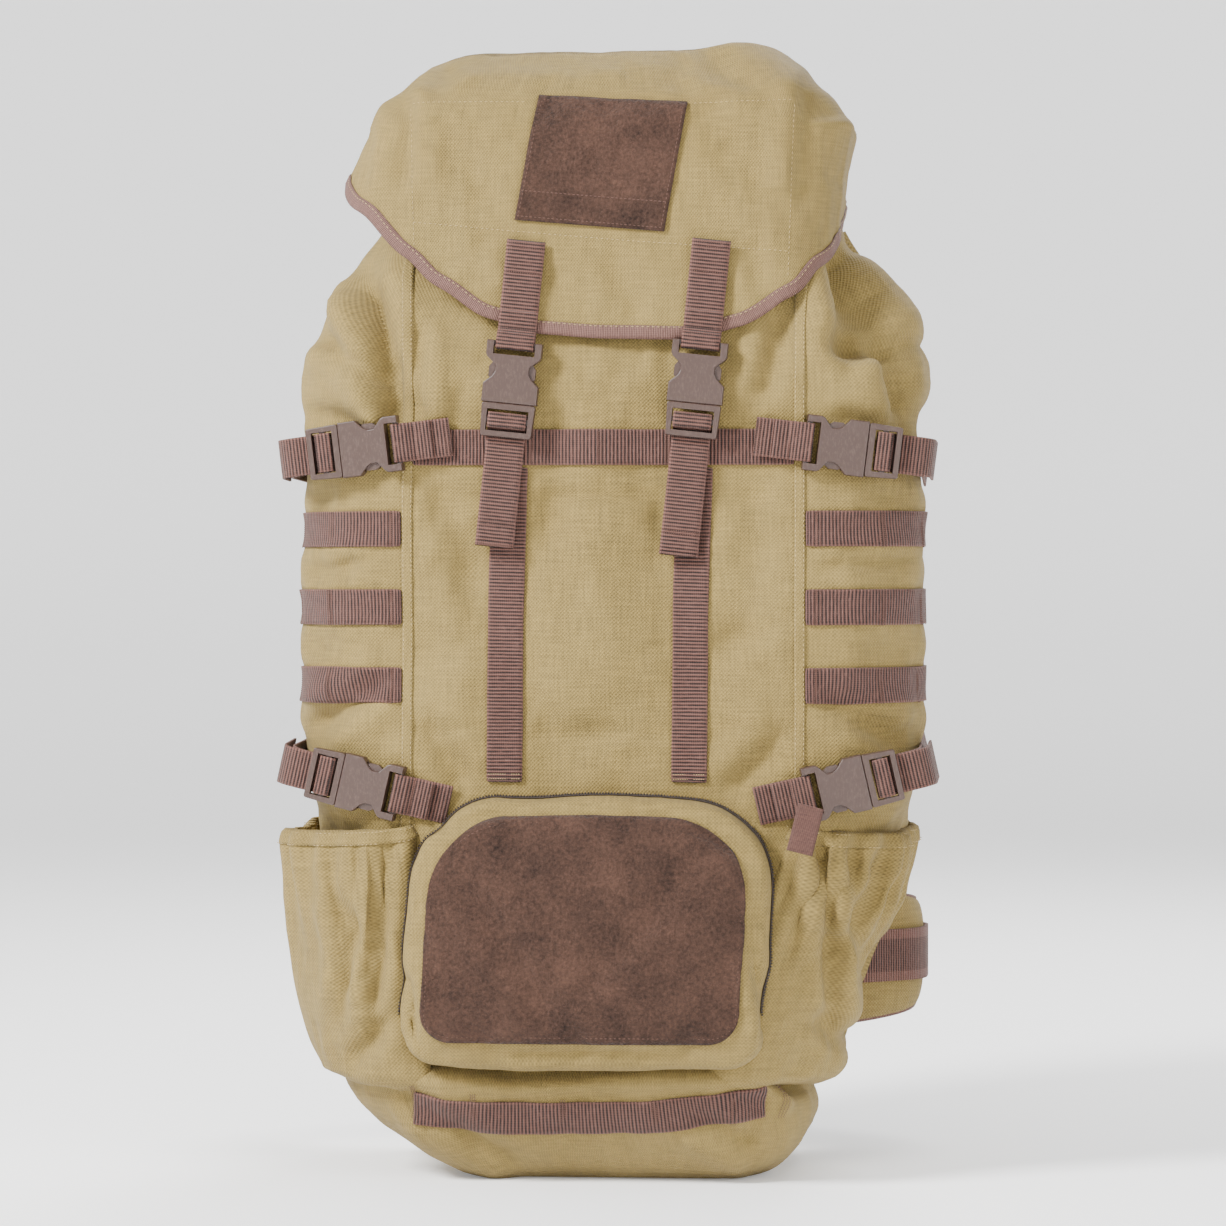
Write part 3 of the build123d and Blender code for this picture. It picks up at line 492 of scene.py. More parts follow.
def makeWebbing(name, look, ribs=None):
    material, tree, shader = startMaterial(name, 0.72)
    weave = effect(tree, ribsAndPaintedShadeGroup, Cloth=clothMap(tree), Ribs=ribs or look["ribs"], Width=0.025)
    fade = effect(tree, fadeGroup, Place=place(tree), Patch=12.0, Speck=260.0)
    # base colour from the group's Tone: painted rib shade and highlight mixed with real unevenness
    woven = blendColour(tree, weave["Tone"], paint(*look["dark"]), paint(*look["light"]))
    dusty = blendColour(tree, calc(tree, "MULTIPLY", fade["Dust"], 0.4), woven, paint(*look["dust"]))
    tree.links.new(dusty, shader.inputs["Base Color"])
    tree.links.new(spread(tree, weave["Tone"], 0, 1, 0.85, 0.6), shader.inputs["Roughness"])
    shader.inputs["Sheen Weight"].default_value = 0.05
    shader.inputs["Specular IOR Level"].default_value = 0.3
    bump(tree, shader, weave["Height"], look["depth"], 1.0)
    return material


loopLook = {"dark": (12, 8, 6), "light": (84, 60, 49), "depth": 1.6 * mm}


def makeLoop(name, look):
    material, tree, shader = startMaterial(name, 0.95)
    fuzz = effect(tree, fuzzGroup, Place=place(tree), Loops=430.0)
    colour = blendColour(tree, fuzz["Tone"], paint(*look["dark"]), paint(*look["light"]))
    tree.links.new(colour, shader.inputs["Base Color"])
    shader.inputs["Sheen Weight"].default_value = 0.06
    shader.inputs["Specular IOR Level"].default_value = 0.15
    bump(tree, shader, fuzz["Height"], look["depth"], 1.0)
    return material


plasticLook = {"base": (58, 40, 33), "scuffed": (98, 78, 69), "depth": 0.05 * mm}


def makePlastic(name, look, roughness=0.38):
    material, tree, shader = startMaterial(name, roughness)
    grain = effect(tree, grainGroup, Place=place(tree), Grain=1500.0)
    fade = effect(tree, fadeGroup, Place=place(tree), Patch=20.0, Speck=400.0)
    worn = calc(
        tree, "ADD", calc(tree, "MULTIPLY", grain["Scuff"], 0.35),
        calc(tree, "MULTIPLY", fade["Dust"], 0.25),
    )
    colour = blendColour(tree, worn, paint(*look["base"]), paint(*look["scuffed"]))
    tree.links.new(colour, shader.inputs["Base Color"])
    tree.links.new(spread(tree, worn, 0, 0.6, roughness, roughness + 0.22), shader.inputs["Roughness"])
    bump(tree, shader, grain["Height"], look["depth"], 0.8)
    return material


def makeMetal(name, base, tarnish, roughness):
    material, tree, shader = startMaterial(name, roughness)
    grain = effect(tree, grainGroup, Place=place(tree), Grain=900.0)
    colour = blendColour(tree, grain["Scuff"], paint(*base), paint(*tarnish))
    tree.links.new(colour, shader.inputs["Base Color"])
    shader.inputs["Metallic"].default_value = 1.0
    tree.links.new(
        spread(tree, grain["Scuff"], 0, 1, roughness, roughness + 0.25), shader.inputs["Roughness"]
    )
    bump(tree, shader, grain["Height"], 0.03 * mm, 0.6)
    return material


meshLook = {"dark": (14, 14, 14), "light": (62, 60, 58), "cells": 330.0}


def makeSpacerMesh(name, look):
    # spacer mesh: rows of holes between knitted ribs
    material, tree, shader = startMaterial(name, 0.8)
    cells = tree.nodes.new("ShaderNodeTexVoronoi")
    cells.feature = "DISTANCE_TO_EDGE"
    cells.inputs["Randomness"].default_value = 0.12
    cells.inputs["Scale"].default_value = look["cells"]
    tree.links.new(clothMap(tree), cells.inputs["Vector"])
    knit = spread(tree, cells.outputs["Distance"], 0.05, 0.3)
    fade = effect(tree, fadeGroup, Place=place(tree), Patch=9.0, Speck=150.0)
    colour = blendColour(tree, knit, paint(*look["light"]), paint(*look["dark"]))
    dusty = blendColour(tree, calc(tree, "MULTIPLY", fade["Dust"], 0.25), colour, paint(96, 90, 84))
    tree.links.new(dusty, shader.inputs["Base Color"])
    shader.inputs["Sheen Weight"].default_value = 0.15
    bump(tree, shader, calc(tree, "SUBTRACT", 1.0, knit), 0.9 * mm, 1.0)
    return material


canvas = makeCanvas("khakiCanvas", canvasLook)
liningCanvas = makeCanvas(
    "liningCloth", {**canvasLook, "dark": (58, 46, 24), "light": (124, 104, 64), "faded": (130, 112, 74)}
)
webbing = makeWebbing("brownWebbing", webbingLook)
bindingTape = makeWebbing(
    "bindingTape", {**webbingLook, "dark": (58, 38, 32), "light": (126, 92, 82), "depth": 0.25 * mm}, 900.0
)
loopCloth = makeLoop("loopPanel", loopLook)
plastic = makePlastic("brownPlastic", plasticLook)
blackPlastic = makePlastic(
    "blackPlastic", {**plasticLook, "base": (26, 25, 24), "scuffed": (70, 68, 66)}, 0.42
)
brass = makeMetal("agedBrass", (150, 122, 78), (74, 58, 40), 0.34)
aluminium = makeMetal("stayAluminium", (176, 178, 180), (120, 122, 124), 0.36)
spacerMesh = makeSpacerMesh("spacerMesh", meshLook)
thread = makeCanvas(
    "paleThread",
    {
        "dark": (120, 98, 60), "light": (190, 166, 116), "faded": (196, 172, 126), "threads": 3000.0,
        "depth": 0.05 * mm,
    },
)
brownThread = makeCanvas(
    "brownThread",
    {
        "dark": (44, 28, 24), "light": (100, 72, 62), "faded": (110, 80, 70), "threads": 3000.0,
        "depth": 0.05 * mm,
    },
)
zipCloth = makeWebbing(
    "zipTape", {**webbingLook, "dark": (26, 20, 16), "light": (62, 50, 42), "depth": 0.1 * mm}, 1400.0
)
print("materials made")


# height, half width, front, back and corner radius of each level, in millimetres
bag = {
    "levels": [
        (0, 92, 76, 92, 30), (10, 116, 93, 95, 38), (
            24, 134, 106, 97, 46
        ), (46, 146, 116, 99, 54), (70, 149, 120, 99, 58),
        (150, 166, 120, 99, 62), (232, 191, 121, 99, 68), (262, 202, 122, 99, 70), (520, 203, 122, 99, 70),
        (556, 196, 117, 99, 68), (580, 186, 109, 98, 66), (606, 170, 98, 97, 63), (630, 151, 87, 95, 60),
    ],
    "lean": 22.0,  # the loaded lower part hangs a little to one side
    "seam": 129.0,
    "puff": 4.0,  # pressure inside in the cloth simulation
    "give": 5.5,  # how far the cloth may move
}
# the way round the bag, counted from the middle of the front to the middle of the back
flatWay, cornerWay, sideWay = 133, 110, 82
sideStart = flatWay + cornerWay
sideEnd = sideStart + sideWay
backStart = sideEnd + cornerWay
halfRound = float(backStart + flatWay)


def levelAt(levels, height):
    # the levels joined smoothly
    total = np.zeros(4)
    for shift in (-9, -4, 0, 4, 9):
        z = min(max(height + shift, levels[0][0]), levels[-1][0])
        for low, high in zip(levels, levels[1:]):
            if low[0] <= z <= high[0]:
                share = (z - low[0]) / (high[0] - low[0])
                total += np.array(low[1:]) * (1 - share) + np.array(high[1:]) * share
                break
    return total / 5


def roundSpot(level, way):
    # a point of one level, way from -568 to 568 round it, and the direction outwards
    width, front, back, corner = level
    side = 1 if way >= 0 else -1
    way = abs(way)
    if way <= flatWay:
        spot, out = (way / flatWay * (width - corner), -front), (0, -1)
    elif way <= sideStart:
        turn = (way - flatWay) / cornerWay * math.pi / 2
        sine, cosine = math.sin(turn), math.cos(turn)
        spot, out = (width - corner + corner * sine, -front + corner - corner * cosine), (sine, -cosine)
    elif way <= sideEnd:
        spot, out = (width, mix(-front + corner, back - corner, (way - sideStart) / sideWay)), (1, 0)
    elif way <= backStart:
        turn = (way - sideEnd) / cornerWay * math.pi / 2
        sine, cosine = math.sin(turn), math.cos(turn)
        spot, out = (width - corner + corner * cosine, back - corner + corner * sine), (cosine, sine)
    else:
        spot, out = ((width - corner) * (1 - (way - backStart) / flatWay), back), (0, 1)
    return Vector((spot[0] * side, spot[1], 0)), Vector((out[0] * side, out[1], 0))


def leanAt(height):
    return -bag["lean"] * ease(4, 66, height) * (1 - ease(66, 262, height))


def bagSpot(way, height, out=0.0):
    # a point on the bag's cloth in metres, and the direction outwards
    flat, outward = roundSpot(levelAt(bag["levels"], height), way)
    spot = flat + outward * out
    return Vector((spot.x + leanAt(height), spot.y, height)) * mm, outward


def wayOfFront(x, height):
    # how far round the bag a point at x on the front is
    width, _, _, corner = levelAt(bag["levels"], height)
    x -= leanAt(height)
    flat = width - corner
    if abs(x) <= flat:
        return x / flat * flatWay
    turn = math.asin(min((abs(x) - flat) / corner, 1.0))
    return math.copysign(flatWay + turn / (math.pi / 2) * cornerWay, x)


def puff(piece, pressure, growth, give, held, frames=20, stiffness=8.0):
    # blows the cloth out a little against its seams
    # held(spot) is 1 where it is sewn down and 0 where it is free
    scene = bpy.context.scene
    group = piece.vertex_groups.new(name="held")
    before, _ = coordinates(piece)
    for index, spot in enumerate(before):
        weight = held(spot / mm)
        if weight > 0.01:
            group.add([index], weight, "REPLACE")
    cloth = piece.modifiers.new("cloth", "CLOTH")
    settings = cloth.settings
    settings.quality = 5
    settings.mass = 0.15
    settings.tension_stiffness = settings.compression_stiffness = stiffness
    settings.shear_stiffness = stiffness * 0.6
    settings.bending_stiffness = 0.35
    settings.shrink_min = -growth
    settings.use_pressure = True
    settings.uniform_pressure_force = pressure
    settings.vertex_group_mass = "held"
    settings.pin_stiffness = 3.0
    settings.effector_weights.gravity = 0
    cloth.collision_settings.use_collision = False
    cloth.collision_settings.use_self_collision = False
    cloth.point_cache.frame_start, cloth.point_cache.frame_end = 1, frames
    for frameNumber in range(1, frames + 1):
        scene.frame_set(frameNumber)
    shown = piece.evaluated_get(bpy.context.evaluated_depsgraph_get())
    after = np.empty(len(before) * 3)
    shown.data.vertices.foreach_get("co", after)
    after = after.reshape(-1, 3)
    piece.modifiers.clear()
    scene.frame_set(1)
    move = after - before
    length = np.linalg.norm(move, axis=1)
    share = np.minimum(1.0, give * mm / np.maximum(length, 1e-9))
    setCoordinates(piece, before + move * share[:, None])
    print(" ", piece.name, "settled, moved up to", round(float((length * share).max() / mm), 1), "mm")
    return piece


# folds pressed into cloth: both ends (x, z), half width, depth (above 0 goes in), which side of the bag
def pressFolds(piece, folds, strength=1.5):
    spots, normals = coordinates(piece)
    x, y, z = (spots / mm).T
    depth = np.zeros(len(spots))
    for (x0, z0), (x1, z1), width, deep, facing in folds:
        reach = np.array([x1 - x0, z1 - z0])
        length = np.hypot(*reach)
        along = ((x - x0) * reach[0] + (z - z0) * reach[1]) / length**2
        across = ((x - x0) * reach[1] - (z - z0) * reach[0]) / length
        bow = across + np.sin(along * math.pi) * width * 0.25
        profile = np.exp(-((bow / width) ** 2)) - 0.55 * np.exp(
            -(((bow - width * 1.9) / (width * 1.1)) ** 2)
        ) - 0.35 * np.exp(-(((bow + width * 2.0) / (width * 1.2)) ** 2))
        fade = np.clip((along + 0.25) / 0.35, 0, 1) * np.clip((1.25 - along) / 0.35, 0, 1)
        side = y < 20 if facing == "front" else y > 20
        depth += deep * profile * fade * fade * side
    setCoordinates(piece, spots - normals * depth[:, None] * strength * mm)


def addSag(piece, amount, size, seed, keep=None):
    # slow unevenness, and finer creases that run mostly upright
    spots, normals = coordinates(piece)
    moved = np.zeros(len(spots))
    for index, spot in enumerate(spots):
        place = Vector(spot) / size + Vector((seed, seed * 0.7, 0))
        slow = noise.noise(place)
        crease = noise.noise(Vector((place.x * 2.6, place.y * 2.6, place.z * 1.1)) + Vector((9, 4, 2)))
        value = slow + 0.55 * (0.35 - abs(crease))
        moved[index] = value * (keep(spot / mm) if keep else 1.0)
    setCoordinates(piece, spots + normals * moved[:, None] * amount * mm)


def heldOnBag(spot):
    x, y, z = spot
    if z > 545 or z < 5:
        return 1.0
    lean = leanAt(z)
    seams = max(math.exp(-((abs(x - lean) - bag["seam"]) / 7) ** 2), 0) if y < 0 else 0
    straps = max(math.exp(-(((z - row) / 18) ** 2)) for row in (478, 264))
    rows = max(math.exp(-((z - row) / 13) ** 2) for row in (427, 376, 326)) * (0.5 if abs(x) > 131 else 0)
    middle = math.exp(-((abs(x) - 60) / 14) ** 2) * 0.55 if y < 0 and 260 < z < 470 else 0
    back = 0.85 if y > 60 else 0
    return min(max(seams, straps, rows, middle, back), 1.0)


bagFolds = [
    # under the lid, on both sides
    ((-158, 590), (-131, 497), 10, 9, "front"),
    ((-188, 556), (-146, 520), 8, 4, "front"),
    ((-122, 560), (-119, 500), 6, 3, "front"),
    ((150, 618), (166, 540), 12, 11, "front"),
    ((171, 590), (196, 500), 9, 6, "front"),
    ((138, 545), (196, 548), 7, 3, "front"),
    ((112, 566), (104, 512), 7, 2.5, "front"),
    # pulls that run to the straps
    ((-196, 505), (-150, 486), 6, 2.5, "front"),
    ((150, 500), (198, 486), 6, 2, "front"),
    ((-110, 462), (-84, 380), 12, 2.2, "front"),
    ((100, 455), (88, 350), 12, 2.4, "front"),
    ((-40, 540), (-30, 420), 16, 2.2, "front"),
    ((20, 500), (34, 350), 18, 2.0, "front"),
    ((-142, 330), (-190, 300), 8, 3, "front"),
    ((140, 318), (192, 286), 8, 3, "front"),
    ((-120, 300), (-90, 262), 9, 3, "front"),
    ((118, 300), (84, 258), 9, 3, "front"),
    ((-146, 410), (-196, 398), 5, 1.4, "front"),
    ((146, 402), (198, 408), 5, 1.4, "front"),
    # where the front turns under at the foot
    ((-150, 82), (-60, 76), 6, 5, "front"),
    ((-60, 76), (96, 82), 6, 5, "front"),
    ((96, 82), (126, 60), 6, 6, "front"),
    ((-120, 50), (-60, 14), 8, 2.5, "front"),
    ((60, 44), (98, 22), 8, 3, "front"),
]


def makeBag():
    rows, columns, floorShare = 112, 186, 0.1

    def spotAt(u, v):
        way = (u - 0.5) * 2 * halfRound
        if v < floorShare:
            size = max(v / floorShare, 0.0)
            flat, _ = roundSpot(levelAt(bag["levels"], 0), way)
            spot = Vector((flat.x * size, flat.y * size, 0.6 * (1 - size))) * mm
            return spot, (spot.x, spot.y)
        height = (v - floorShare) / (1 - floorShare) * 630
        spot, _ = bagSpot(way, height)
        return spot, (way * mm, height * mm)

    piece = keepMesh(faceOut(sheetFrom(columns, rows, spotAt)), "bagBody", canvas)
    puff(piece, bag["puff"], 0.022, bag["give"], heldOnBag)
    refine(piece)
    pressFolds(piece, bagFolds, 2.1)

    def freely(spot):
        under = max(
            math.exp(-(((spot[2] - row) / 20) ** 2)) for row in (478, 264)
        ) if abs(spot[0]) > 60 else 0.0
        free = (1 - ease(590, 628, spot[2])) * ease(4, 40, spot[2]) * (1 - 0.85 * under)
        return free * (0.35 if spot[1] > 60 else 1.0)

    addSag(piece, 5.0, 0.085, 3.1, freely)
    addSag(piece, 1.5, 0.03, 7.7, freely)
    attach(piece, "pack")
    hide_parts("front_panel", "back_panel", "side_panel_left", "side_panel_right", "base_panel")
    return piece


bagBody = makeBag()
bagSurface = surfaceOf(bagBody)
print("bag made:", len(bagBody.data.polygons), "faces")


def layOn(surface, spot, outward, lift):
    # the point of the cloth under or over spot, raised by lift
    start = spot + outward * 0.06
    hit, _, _, _ = surface.ray_cast(start, -outward, 0.12)
    if hit is None:
        return spot + outward * lift
    return hit + outward * lift


def stripOn(name, route, width, thickness, material, surface, lift=0.3, step=4.0, across=6, soften=2):
    # route is a list of (point, direction outwards) in metres; the strip lies on the surface and follows it
    spots = [Vector(spot) for spot, _ in route]
    lengths = runLengths(spots)
    count = max(int(lengths[-1] / (step * mm)), 2)

    def along(share):
        distance = share * lengths[-1]
        for index in range(len(spots) - 1):
            if distance <= lengths[index + 1] or index == len(spots) - 2:
                part = (distance - lengths[index]) / max(lengths[index + 1] - lengths[index], 1e-9)
                spot = spots[index].lerp(spots[index + 1], part)
                outward = Vector(route[index][1]).lerp(Vector(route[index + 1][1]), part).normalized()
                return spot, outward, (spots[index + 1] - spots[index]).normalized()

    # the middle line first, so that the strip stays as wide as it is woven
    def placeAt(u, v):
        spot, outward, forward = along(v)
        sideways = forward.cross(outward).normalized()
        offset = (u - 0.5) * width * mm
        return layOn(
            surface, spot + sideways * offset, outward, (lift + 0.02) * mm
        ), (offset, v * lengths[-1])

    bm = sheetFrom(across, count, placeAt, merge=False)
    for _ in range(soften):
        bmesh.ops.smooth_vert(
            bm, verts=bm.verts, factor=0.35, use_axis_x=True, use_axis_y=True, use_axis_z=True
        )
    bm.normal_update()
    middle = along(0.5)
    nearest = min(bm.faces, key=lambda face: (face.calc_center_median() - middle[0]).length)
    if nearest.normal.dot(middle[1]) < 0:
        bmesh.ops.reverse_faces(bm, faces=bm.faces)
    thicken(bm, thickness * mm)
    return keepMesh(bm, name, material)


def thicken(bm, thickness):
    # gives a sheet its thickness outwards, keeping cloth coordinates on the rim
    bm.normal_update()
    bmesh.ops.solidify(bm, geom=bm.faces[:], thickness=-thickness)
    cloth = bm.loops.layers.uv.verify()
    known = {}
    for face in bm.faces:
        for loop in face.loops:
            if loop[cloth].uv.length > 0:
                known[loop.vert] = loop[cloth].uv.copy()
    for face in bm.faces:
        for loop in face.loops:
            if loop[cloth].uv.length == 0 and loop.vert in known:
                loop[cloth].uv = known[loop.vert]
    bmesh.ops.recalc_face_normals(bm, faces=bm.faces)


def stitchRow(bm, route, pitch=3.2, length=2.3, width=0.55, height=0.4, surface=None, lift=0.25):
    # separate stitches along a route of (point, direction outwards)
    spots = [Vector(spot) for spot, _ in route]
    carry = 0.0
    for index in range(len(spots) - 1):
        run = spots[index + 1] - spots[index]
        distance = carry
        while distance < run.length:
            share = distance / run.length
            outward = Vector(route[index][1]).lerp(Vector(route[index + 1][1]), share).normalized()
            middle = spots[index] + run * share
            if surface:
                middle = layOn(surface, middle, outward, lift * mm)
            forward = run.normalized()
            sideways = outward.cross(forward).normalized()
            turn = Matrix((forward, sideways, forward.cross(sideways))).transposed().to_4x4()
            size = Matrix.Diagonal((length * mm, width * mm, height * mm, 1))
            bmesh.ops.create_icosphere(
                bm, subdivisions=1, radius=0.5, matrix=Matrix.Translation(middle) @ turn @ size
            )
            distance += pitch * mm
        carry = distance - run.length


def keepStitches(bm, name, material, body="pack"):
    if not bm.loops.layers.uv:
        bm.loops.layers.uv.new("cloth")
    piece = keepMesh(bm, name, material)
    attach(piece, body)
    return piece


def join(pieces, name):
    # several meshes as one piece
    bm = bmesh.new()
    materials = []
    for piece in pieces:
        start = len(bm.faces)
        bm.from_mesh(piece.data)
        bm.faces.ensure_lookup_table()
        slots = []
        for material in piece.data.materials:
            if material not in materials:
                materials.append(material)
            slots.append(materials.index(material))
        for face in bm.faces[start:]:
            face.material_index = slots[min(face.material_index, len(slots) - 1)] if slots else 0
    made = keepMesh(bm, name)
    for material in materials:
        made.data.materials.append(material)
    for piece in pieces:
        bpy.data.objects.remove(piece)
    return made


def frontRoute(points):
    # a route on the front from (x, z) points
    return [(Vector((x, -122, z)) * mm, Vector((0, -1, 0))) for x, z in points]


def roundRoute(ways, height, heightEnd=None):
    # a route round the bag at one height
    route = []
    for index, way in enumerate(ways):
        z = height if heightEnd is None else mix(height, heightEnd, index / (len(ways) - 1))
        spot, outward = bagSpot(way, z)
        route.append((spot, outward))
    return route


def stops(start, end, count):
    return [mix(start, end, index / (count - 1)) for index in range(count)]


tape = {"width": 25.0, "thick": 1.6, "rows": (427.2, 376.4, 325.6)}


def makeWebbingOnBag():
    band = stripOn(
        "band", roundRoute(stops(-125, 125, 30), 480), tape["width"], tape["thick"], webbing, bagSurface,
        0.4,
    )
    uprights = [
        stripOn(
            "upright", frontRoute([(x, 468), (x - 3, 370), (x - 4, 262)]), tape["width"], tape["thick"],
            webbing, bagSurface, 0.4,
        )
        for x in (-60, 60)
    ]
    front = join([band, *uprights], "frontWebbing")
    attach(front, "pack")
    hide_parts("front_webbing")
    rows = []
    for height in tape["rows"]:
        for side in (-1, 1):
            ways = [side * way for way in stops(131, 358, 34)]
            rows.append(
                stripOn(
                    "row", roundRoute(ways, height, height + side * 0.5), tape["width"], tape["thick"],
                    webbing, bagSurface, 0.5,
                )
            )
    ladders = join(rows, "sideLadders")
    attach(ladders, "pack")
    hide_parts("side_ladders")
    route = []
    for x in stops(-124, 104, 32):
        height = 46 + 9 * ((x + 6) / 118) ** 2 + (x + 6) * 0.03
        spot, outward = bagSpot(wayOfFront(x, height), height)
        route.append((spot, (outward * 0.9 + Vector((0, 0, -0.35))).normalized()))
    base = stripOn("baseWebbing", route, tape["width"], tape["thick"], webbing, bagSurface, 0.4)
    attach(base, "pack")
    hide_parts("base_webbing")
    return front, ladders, base


makeWebbingOnBag()
print("webbing on the bag made")


def makeSeams():
    seams, stitches = [], bmesh.new()
    for side in (-1, 1):
        route = []
        for height in stops(606, 88, 60):
            way = wayOfFront(side * bag["seam"] + leanAt(height) - side * 1.5, height)
            route.append(bagSpot(way, height))
        seams.append(stripOn("seam", route, 8.5, 0.9, canvas, bagSurface, 0.1, across=3))
        for shift in (-2.6, 2.6):
            shifted = [(spot + Vector((shift * mm, 0, 0)), outward) for spot, outward in route]
            stitchRow(stitches, shifted, surface=bagSurface, lift=1.05)
    piece = join(seams, "bagSeams")
    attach(piece, "pack")
    # box stitches and bartacks on the webbing
    for x in (-60, 60):
        for height in (466, 462, 268, 265):
            stitchRow(
                stitches, frontRoute([(x - 14, height), (x + 7, height)]), 1.5, 1.3, 0.5, 0.4, bagSurface,
                2.0,
            )
    keepStitches(stitches, "seamStitches", thread)
    tacks = bmesh.new()
    for x in (-113, -46, -2, 42, 112):
        for shift in (-1.4, 0, 1.4):
            stitchRow(
                tacks, frontRoute([(x + shift, 469), (x + shift, 491)]), 1.3, 1.2, 0.7, 0.6, bagSurface, 2.1
            )
    for height in tape["rows"]:
        for side in (-1, 1):
            for way in (139, 182, 224, 270, 316, 352):
                for shift in (-1.2, 0.2, 1.6):
                    spot, outward = bagSpot(side * (way + shift), height)
                    low, high = spot - Vector((0, 0, 0.0115)), spot + Vector((0, 0, 0.0115))
                    stitchRow(tacks, [(low, outward), (high, outward)], 1.3, 1.2, 0.7, 0.6, bagSurface, 2.2)
    for x in (-122, -84, -26, 34, 84, 113):
        height = 46 + 9 * ((x + 6) / 118) ** 2
        for shift in (-1.3, 0, 1.3):
            low, outward = bagSpot(wayOfFront(x + shift, height - 11), height - 11)
            high, _ = bagSpot(wayOfFront(x + shift, height + 11), height + 11)
            stitchRow(tacks, [(low, outward), (high, outward)], 1.3, 1.2, 0.7, 0.6, bagSurface, 2.1)
    keepStitches(tacks, "bartacks", brownThread)


makeSeams()
print("seams made")


lid = {
    "top": (737, 114, 74, 80, 36),
    "brow": (711, 139, 121, 106, 38),
    "rim": (692, 154, 125.5, 110, 48),
    # way round the lid and the height of its lower edge
    "edge": [
        (-568, 656), (-435, 656), (-325, 662), (-243, 654), (-200, 634), (-162, 604), (-134, 585), (-92, 564),
        (-52, 554), (0, 551),
        (74, 550), (110, 558), (157, 578), (186, 597), (243, 616), (325, 648), (435, 656), (568, 656),
    ],
    "binding": 10.0,
    "patch": [(-57, 627), (40, 619), (55, 702), (-42, 708)],
}


def lidEdge(way):
    for (a, low), (b, high) in zip(lid["edge"], lid["edge"][1:]):
        if a <= way <= b:
            return mix(low, high, (way - a) / (b - a)) * 0.5 + 0.5 * mix(low, high, ease(a, b, way))
    return lid["edge"][0][1]


def lidSpot(way, drop):
    # drop is 0 at the rim and 1 at the lower edge
    height = mix(lid["rim"][0], lidEdge(way), drop)
    level = list(lid["rim"][1:])
    flat, outward = roundSpot(level, way)
    flare = 19.0 * drop if way < 0 else 6.0 * (1 - drop) ** 2 - 3.0 * drop
    flare *= ease(133, 225, abs(way)) * (1 - ease(300, 420, abs(way)))
    flat += outward * flare
    return Vector((flat.x, flat.y, height)) * mm, outward


lidFolds = [
    # the edges of the lid's boxy pocket
    ((-133, 712), (-130, 652), 8, 3.4, "front"),
    ((133, 716), (129, 640), 8, 3.8, "front"),
    ((-118, 690), (-70, 640), 10, 1.6, "front"),
    ((72, 676), (120, 634), 10, 2.0, "front"),
    ((146, 700), (148, 650), 8, 2.2, "front"),
    ((-84, 618), (-30, 586), 8, 1.6, "front"),
    ((4, 606), (22, 562), 10, 1.8, "front"),
    ((92, 610), (110, 570), 8, 1.8, "front"),
    ((66, 730), (118, 700), 9, 2.4, "front"),
    ((-104, 732), (-112, 706), 8, 1.8, "front"),
]


def makeLid():
    rimShare = 0.4

    def spotAt(u, v):
        way = (u - 0.5) * 2 * halfRound
        if v < 0.18:
            size = v / 0.18
            flat, _ = roundSpot(lid["top"][1:], way)
            spot = Vector(
                (flat.x * size, flat.y * size + 3 * (1 - size), lid["top"][0] + 3.0 * (1 - size**2))
            ) * mm
            return spot, (spot.x, spot.y)
        if v < rimShare:
            share = (v - 0.18) / (rimShare - 0.18)
            stages = [lid["top"], lid["brow"], lid["rim"]]
            low, high = (stages[0], stages[1]) if share < 0.6 else (stages[1], stages[2])
            part = share / 0.6 if share < 0.6 else (share - 0.6) / 0.4
            level = [mix(a, b, part) for a, b in zip(low, high)]
            flat, _ = roundSpot(level[1:], way)
            # the right-hand corner of the top stands a little higher
            lift = 6.0 * math.exp(-(((way - 165) / 70) ** 2)) * (1 - share)
            spot = Vector((flat.x, flat.y, level[0] + lift)) * mm
            return spot, (way * mm, (lid["rim"][0] + 55 * (1 - share)) * mm)
        spot, _ = lidSpot(way, (v - rimShare) / (1 - rimShare))
        return spot, (way * mm, spot.z)

    piece = keepMesh(faceOut(sheetFrom(150, 54, spotAt)), "lidShell", canvas)

    def held(spot):
        _, y, z = spot
        if z < 690:
            return 0.25 if y < 60 else 0.9
        return 0.0

    puff(piece, 3.0, 0.02, 4.5, held)
    refine(piece)
    pressFolds(piece, lidFolds)
    addSag(piece, 1.8, 0.08, 5.3)
    addSag(piece, 0.9, 0.028, 8.1)
    surface = surfaceOf(piece)
    wall = piece.modifiers.new("wall", "SOLIDIFY")
    wall.thickness, wall.offset = 1.8 * mm, -1
    bake(piece)
    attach(piece, "lid")
    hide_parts("lid_pocket", "lid_skirt")
    return piece, surface


lidShell, lidSurface = makeLid()
print("lid made:", len(lidShell.data.polygons), "faces")


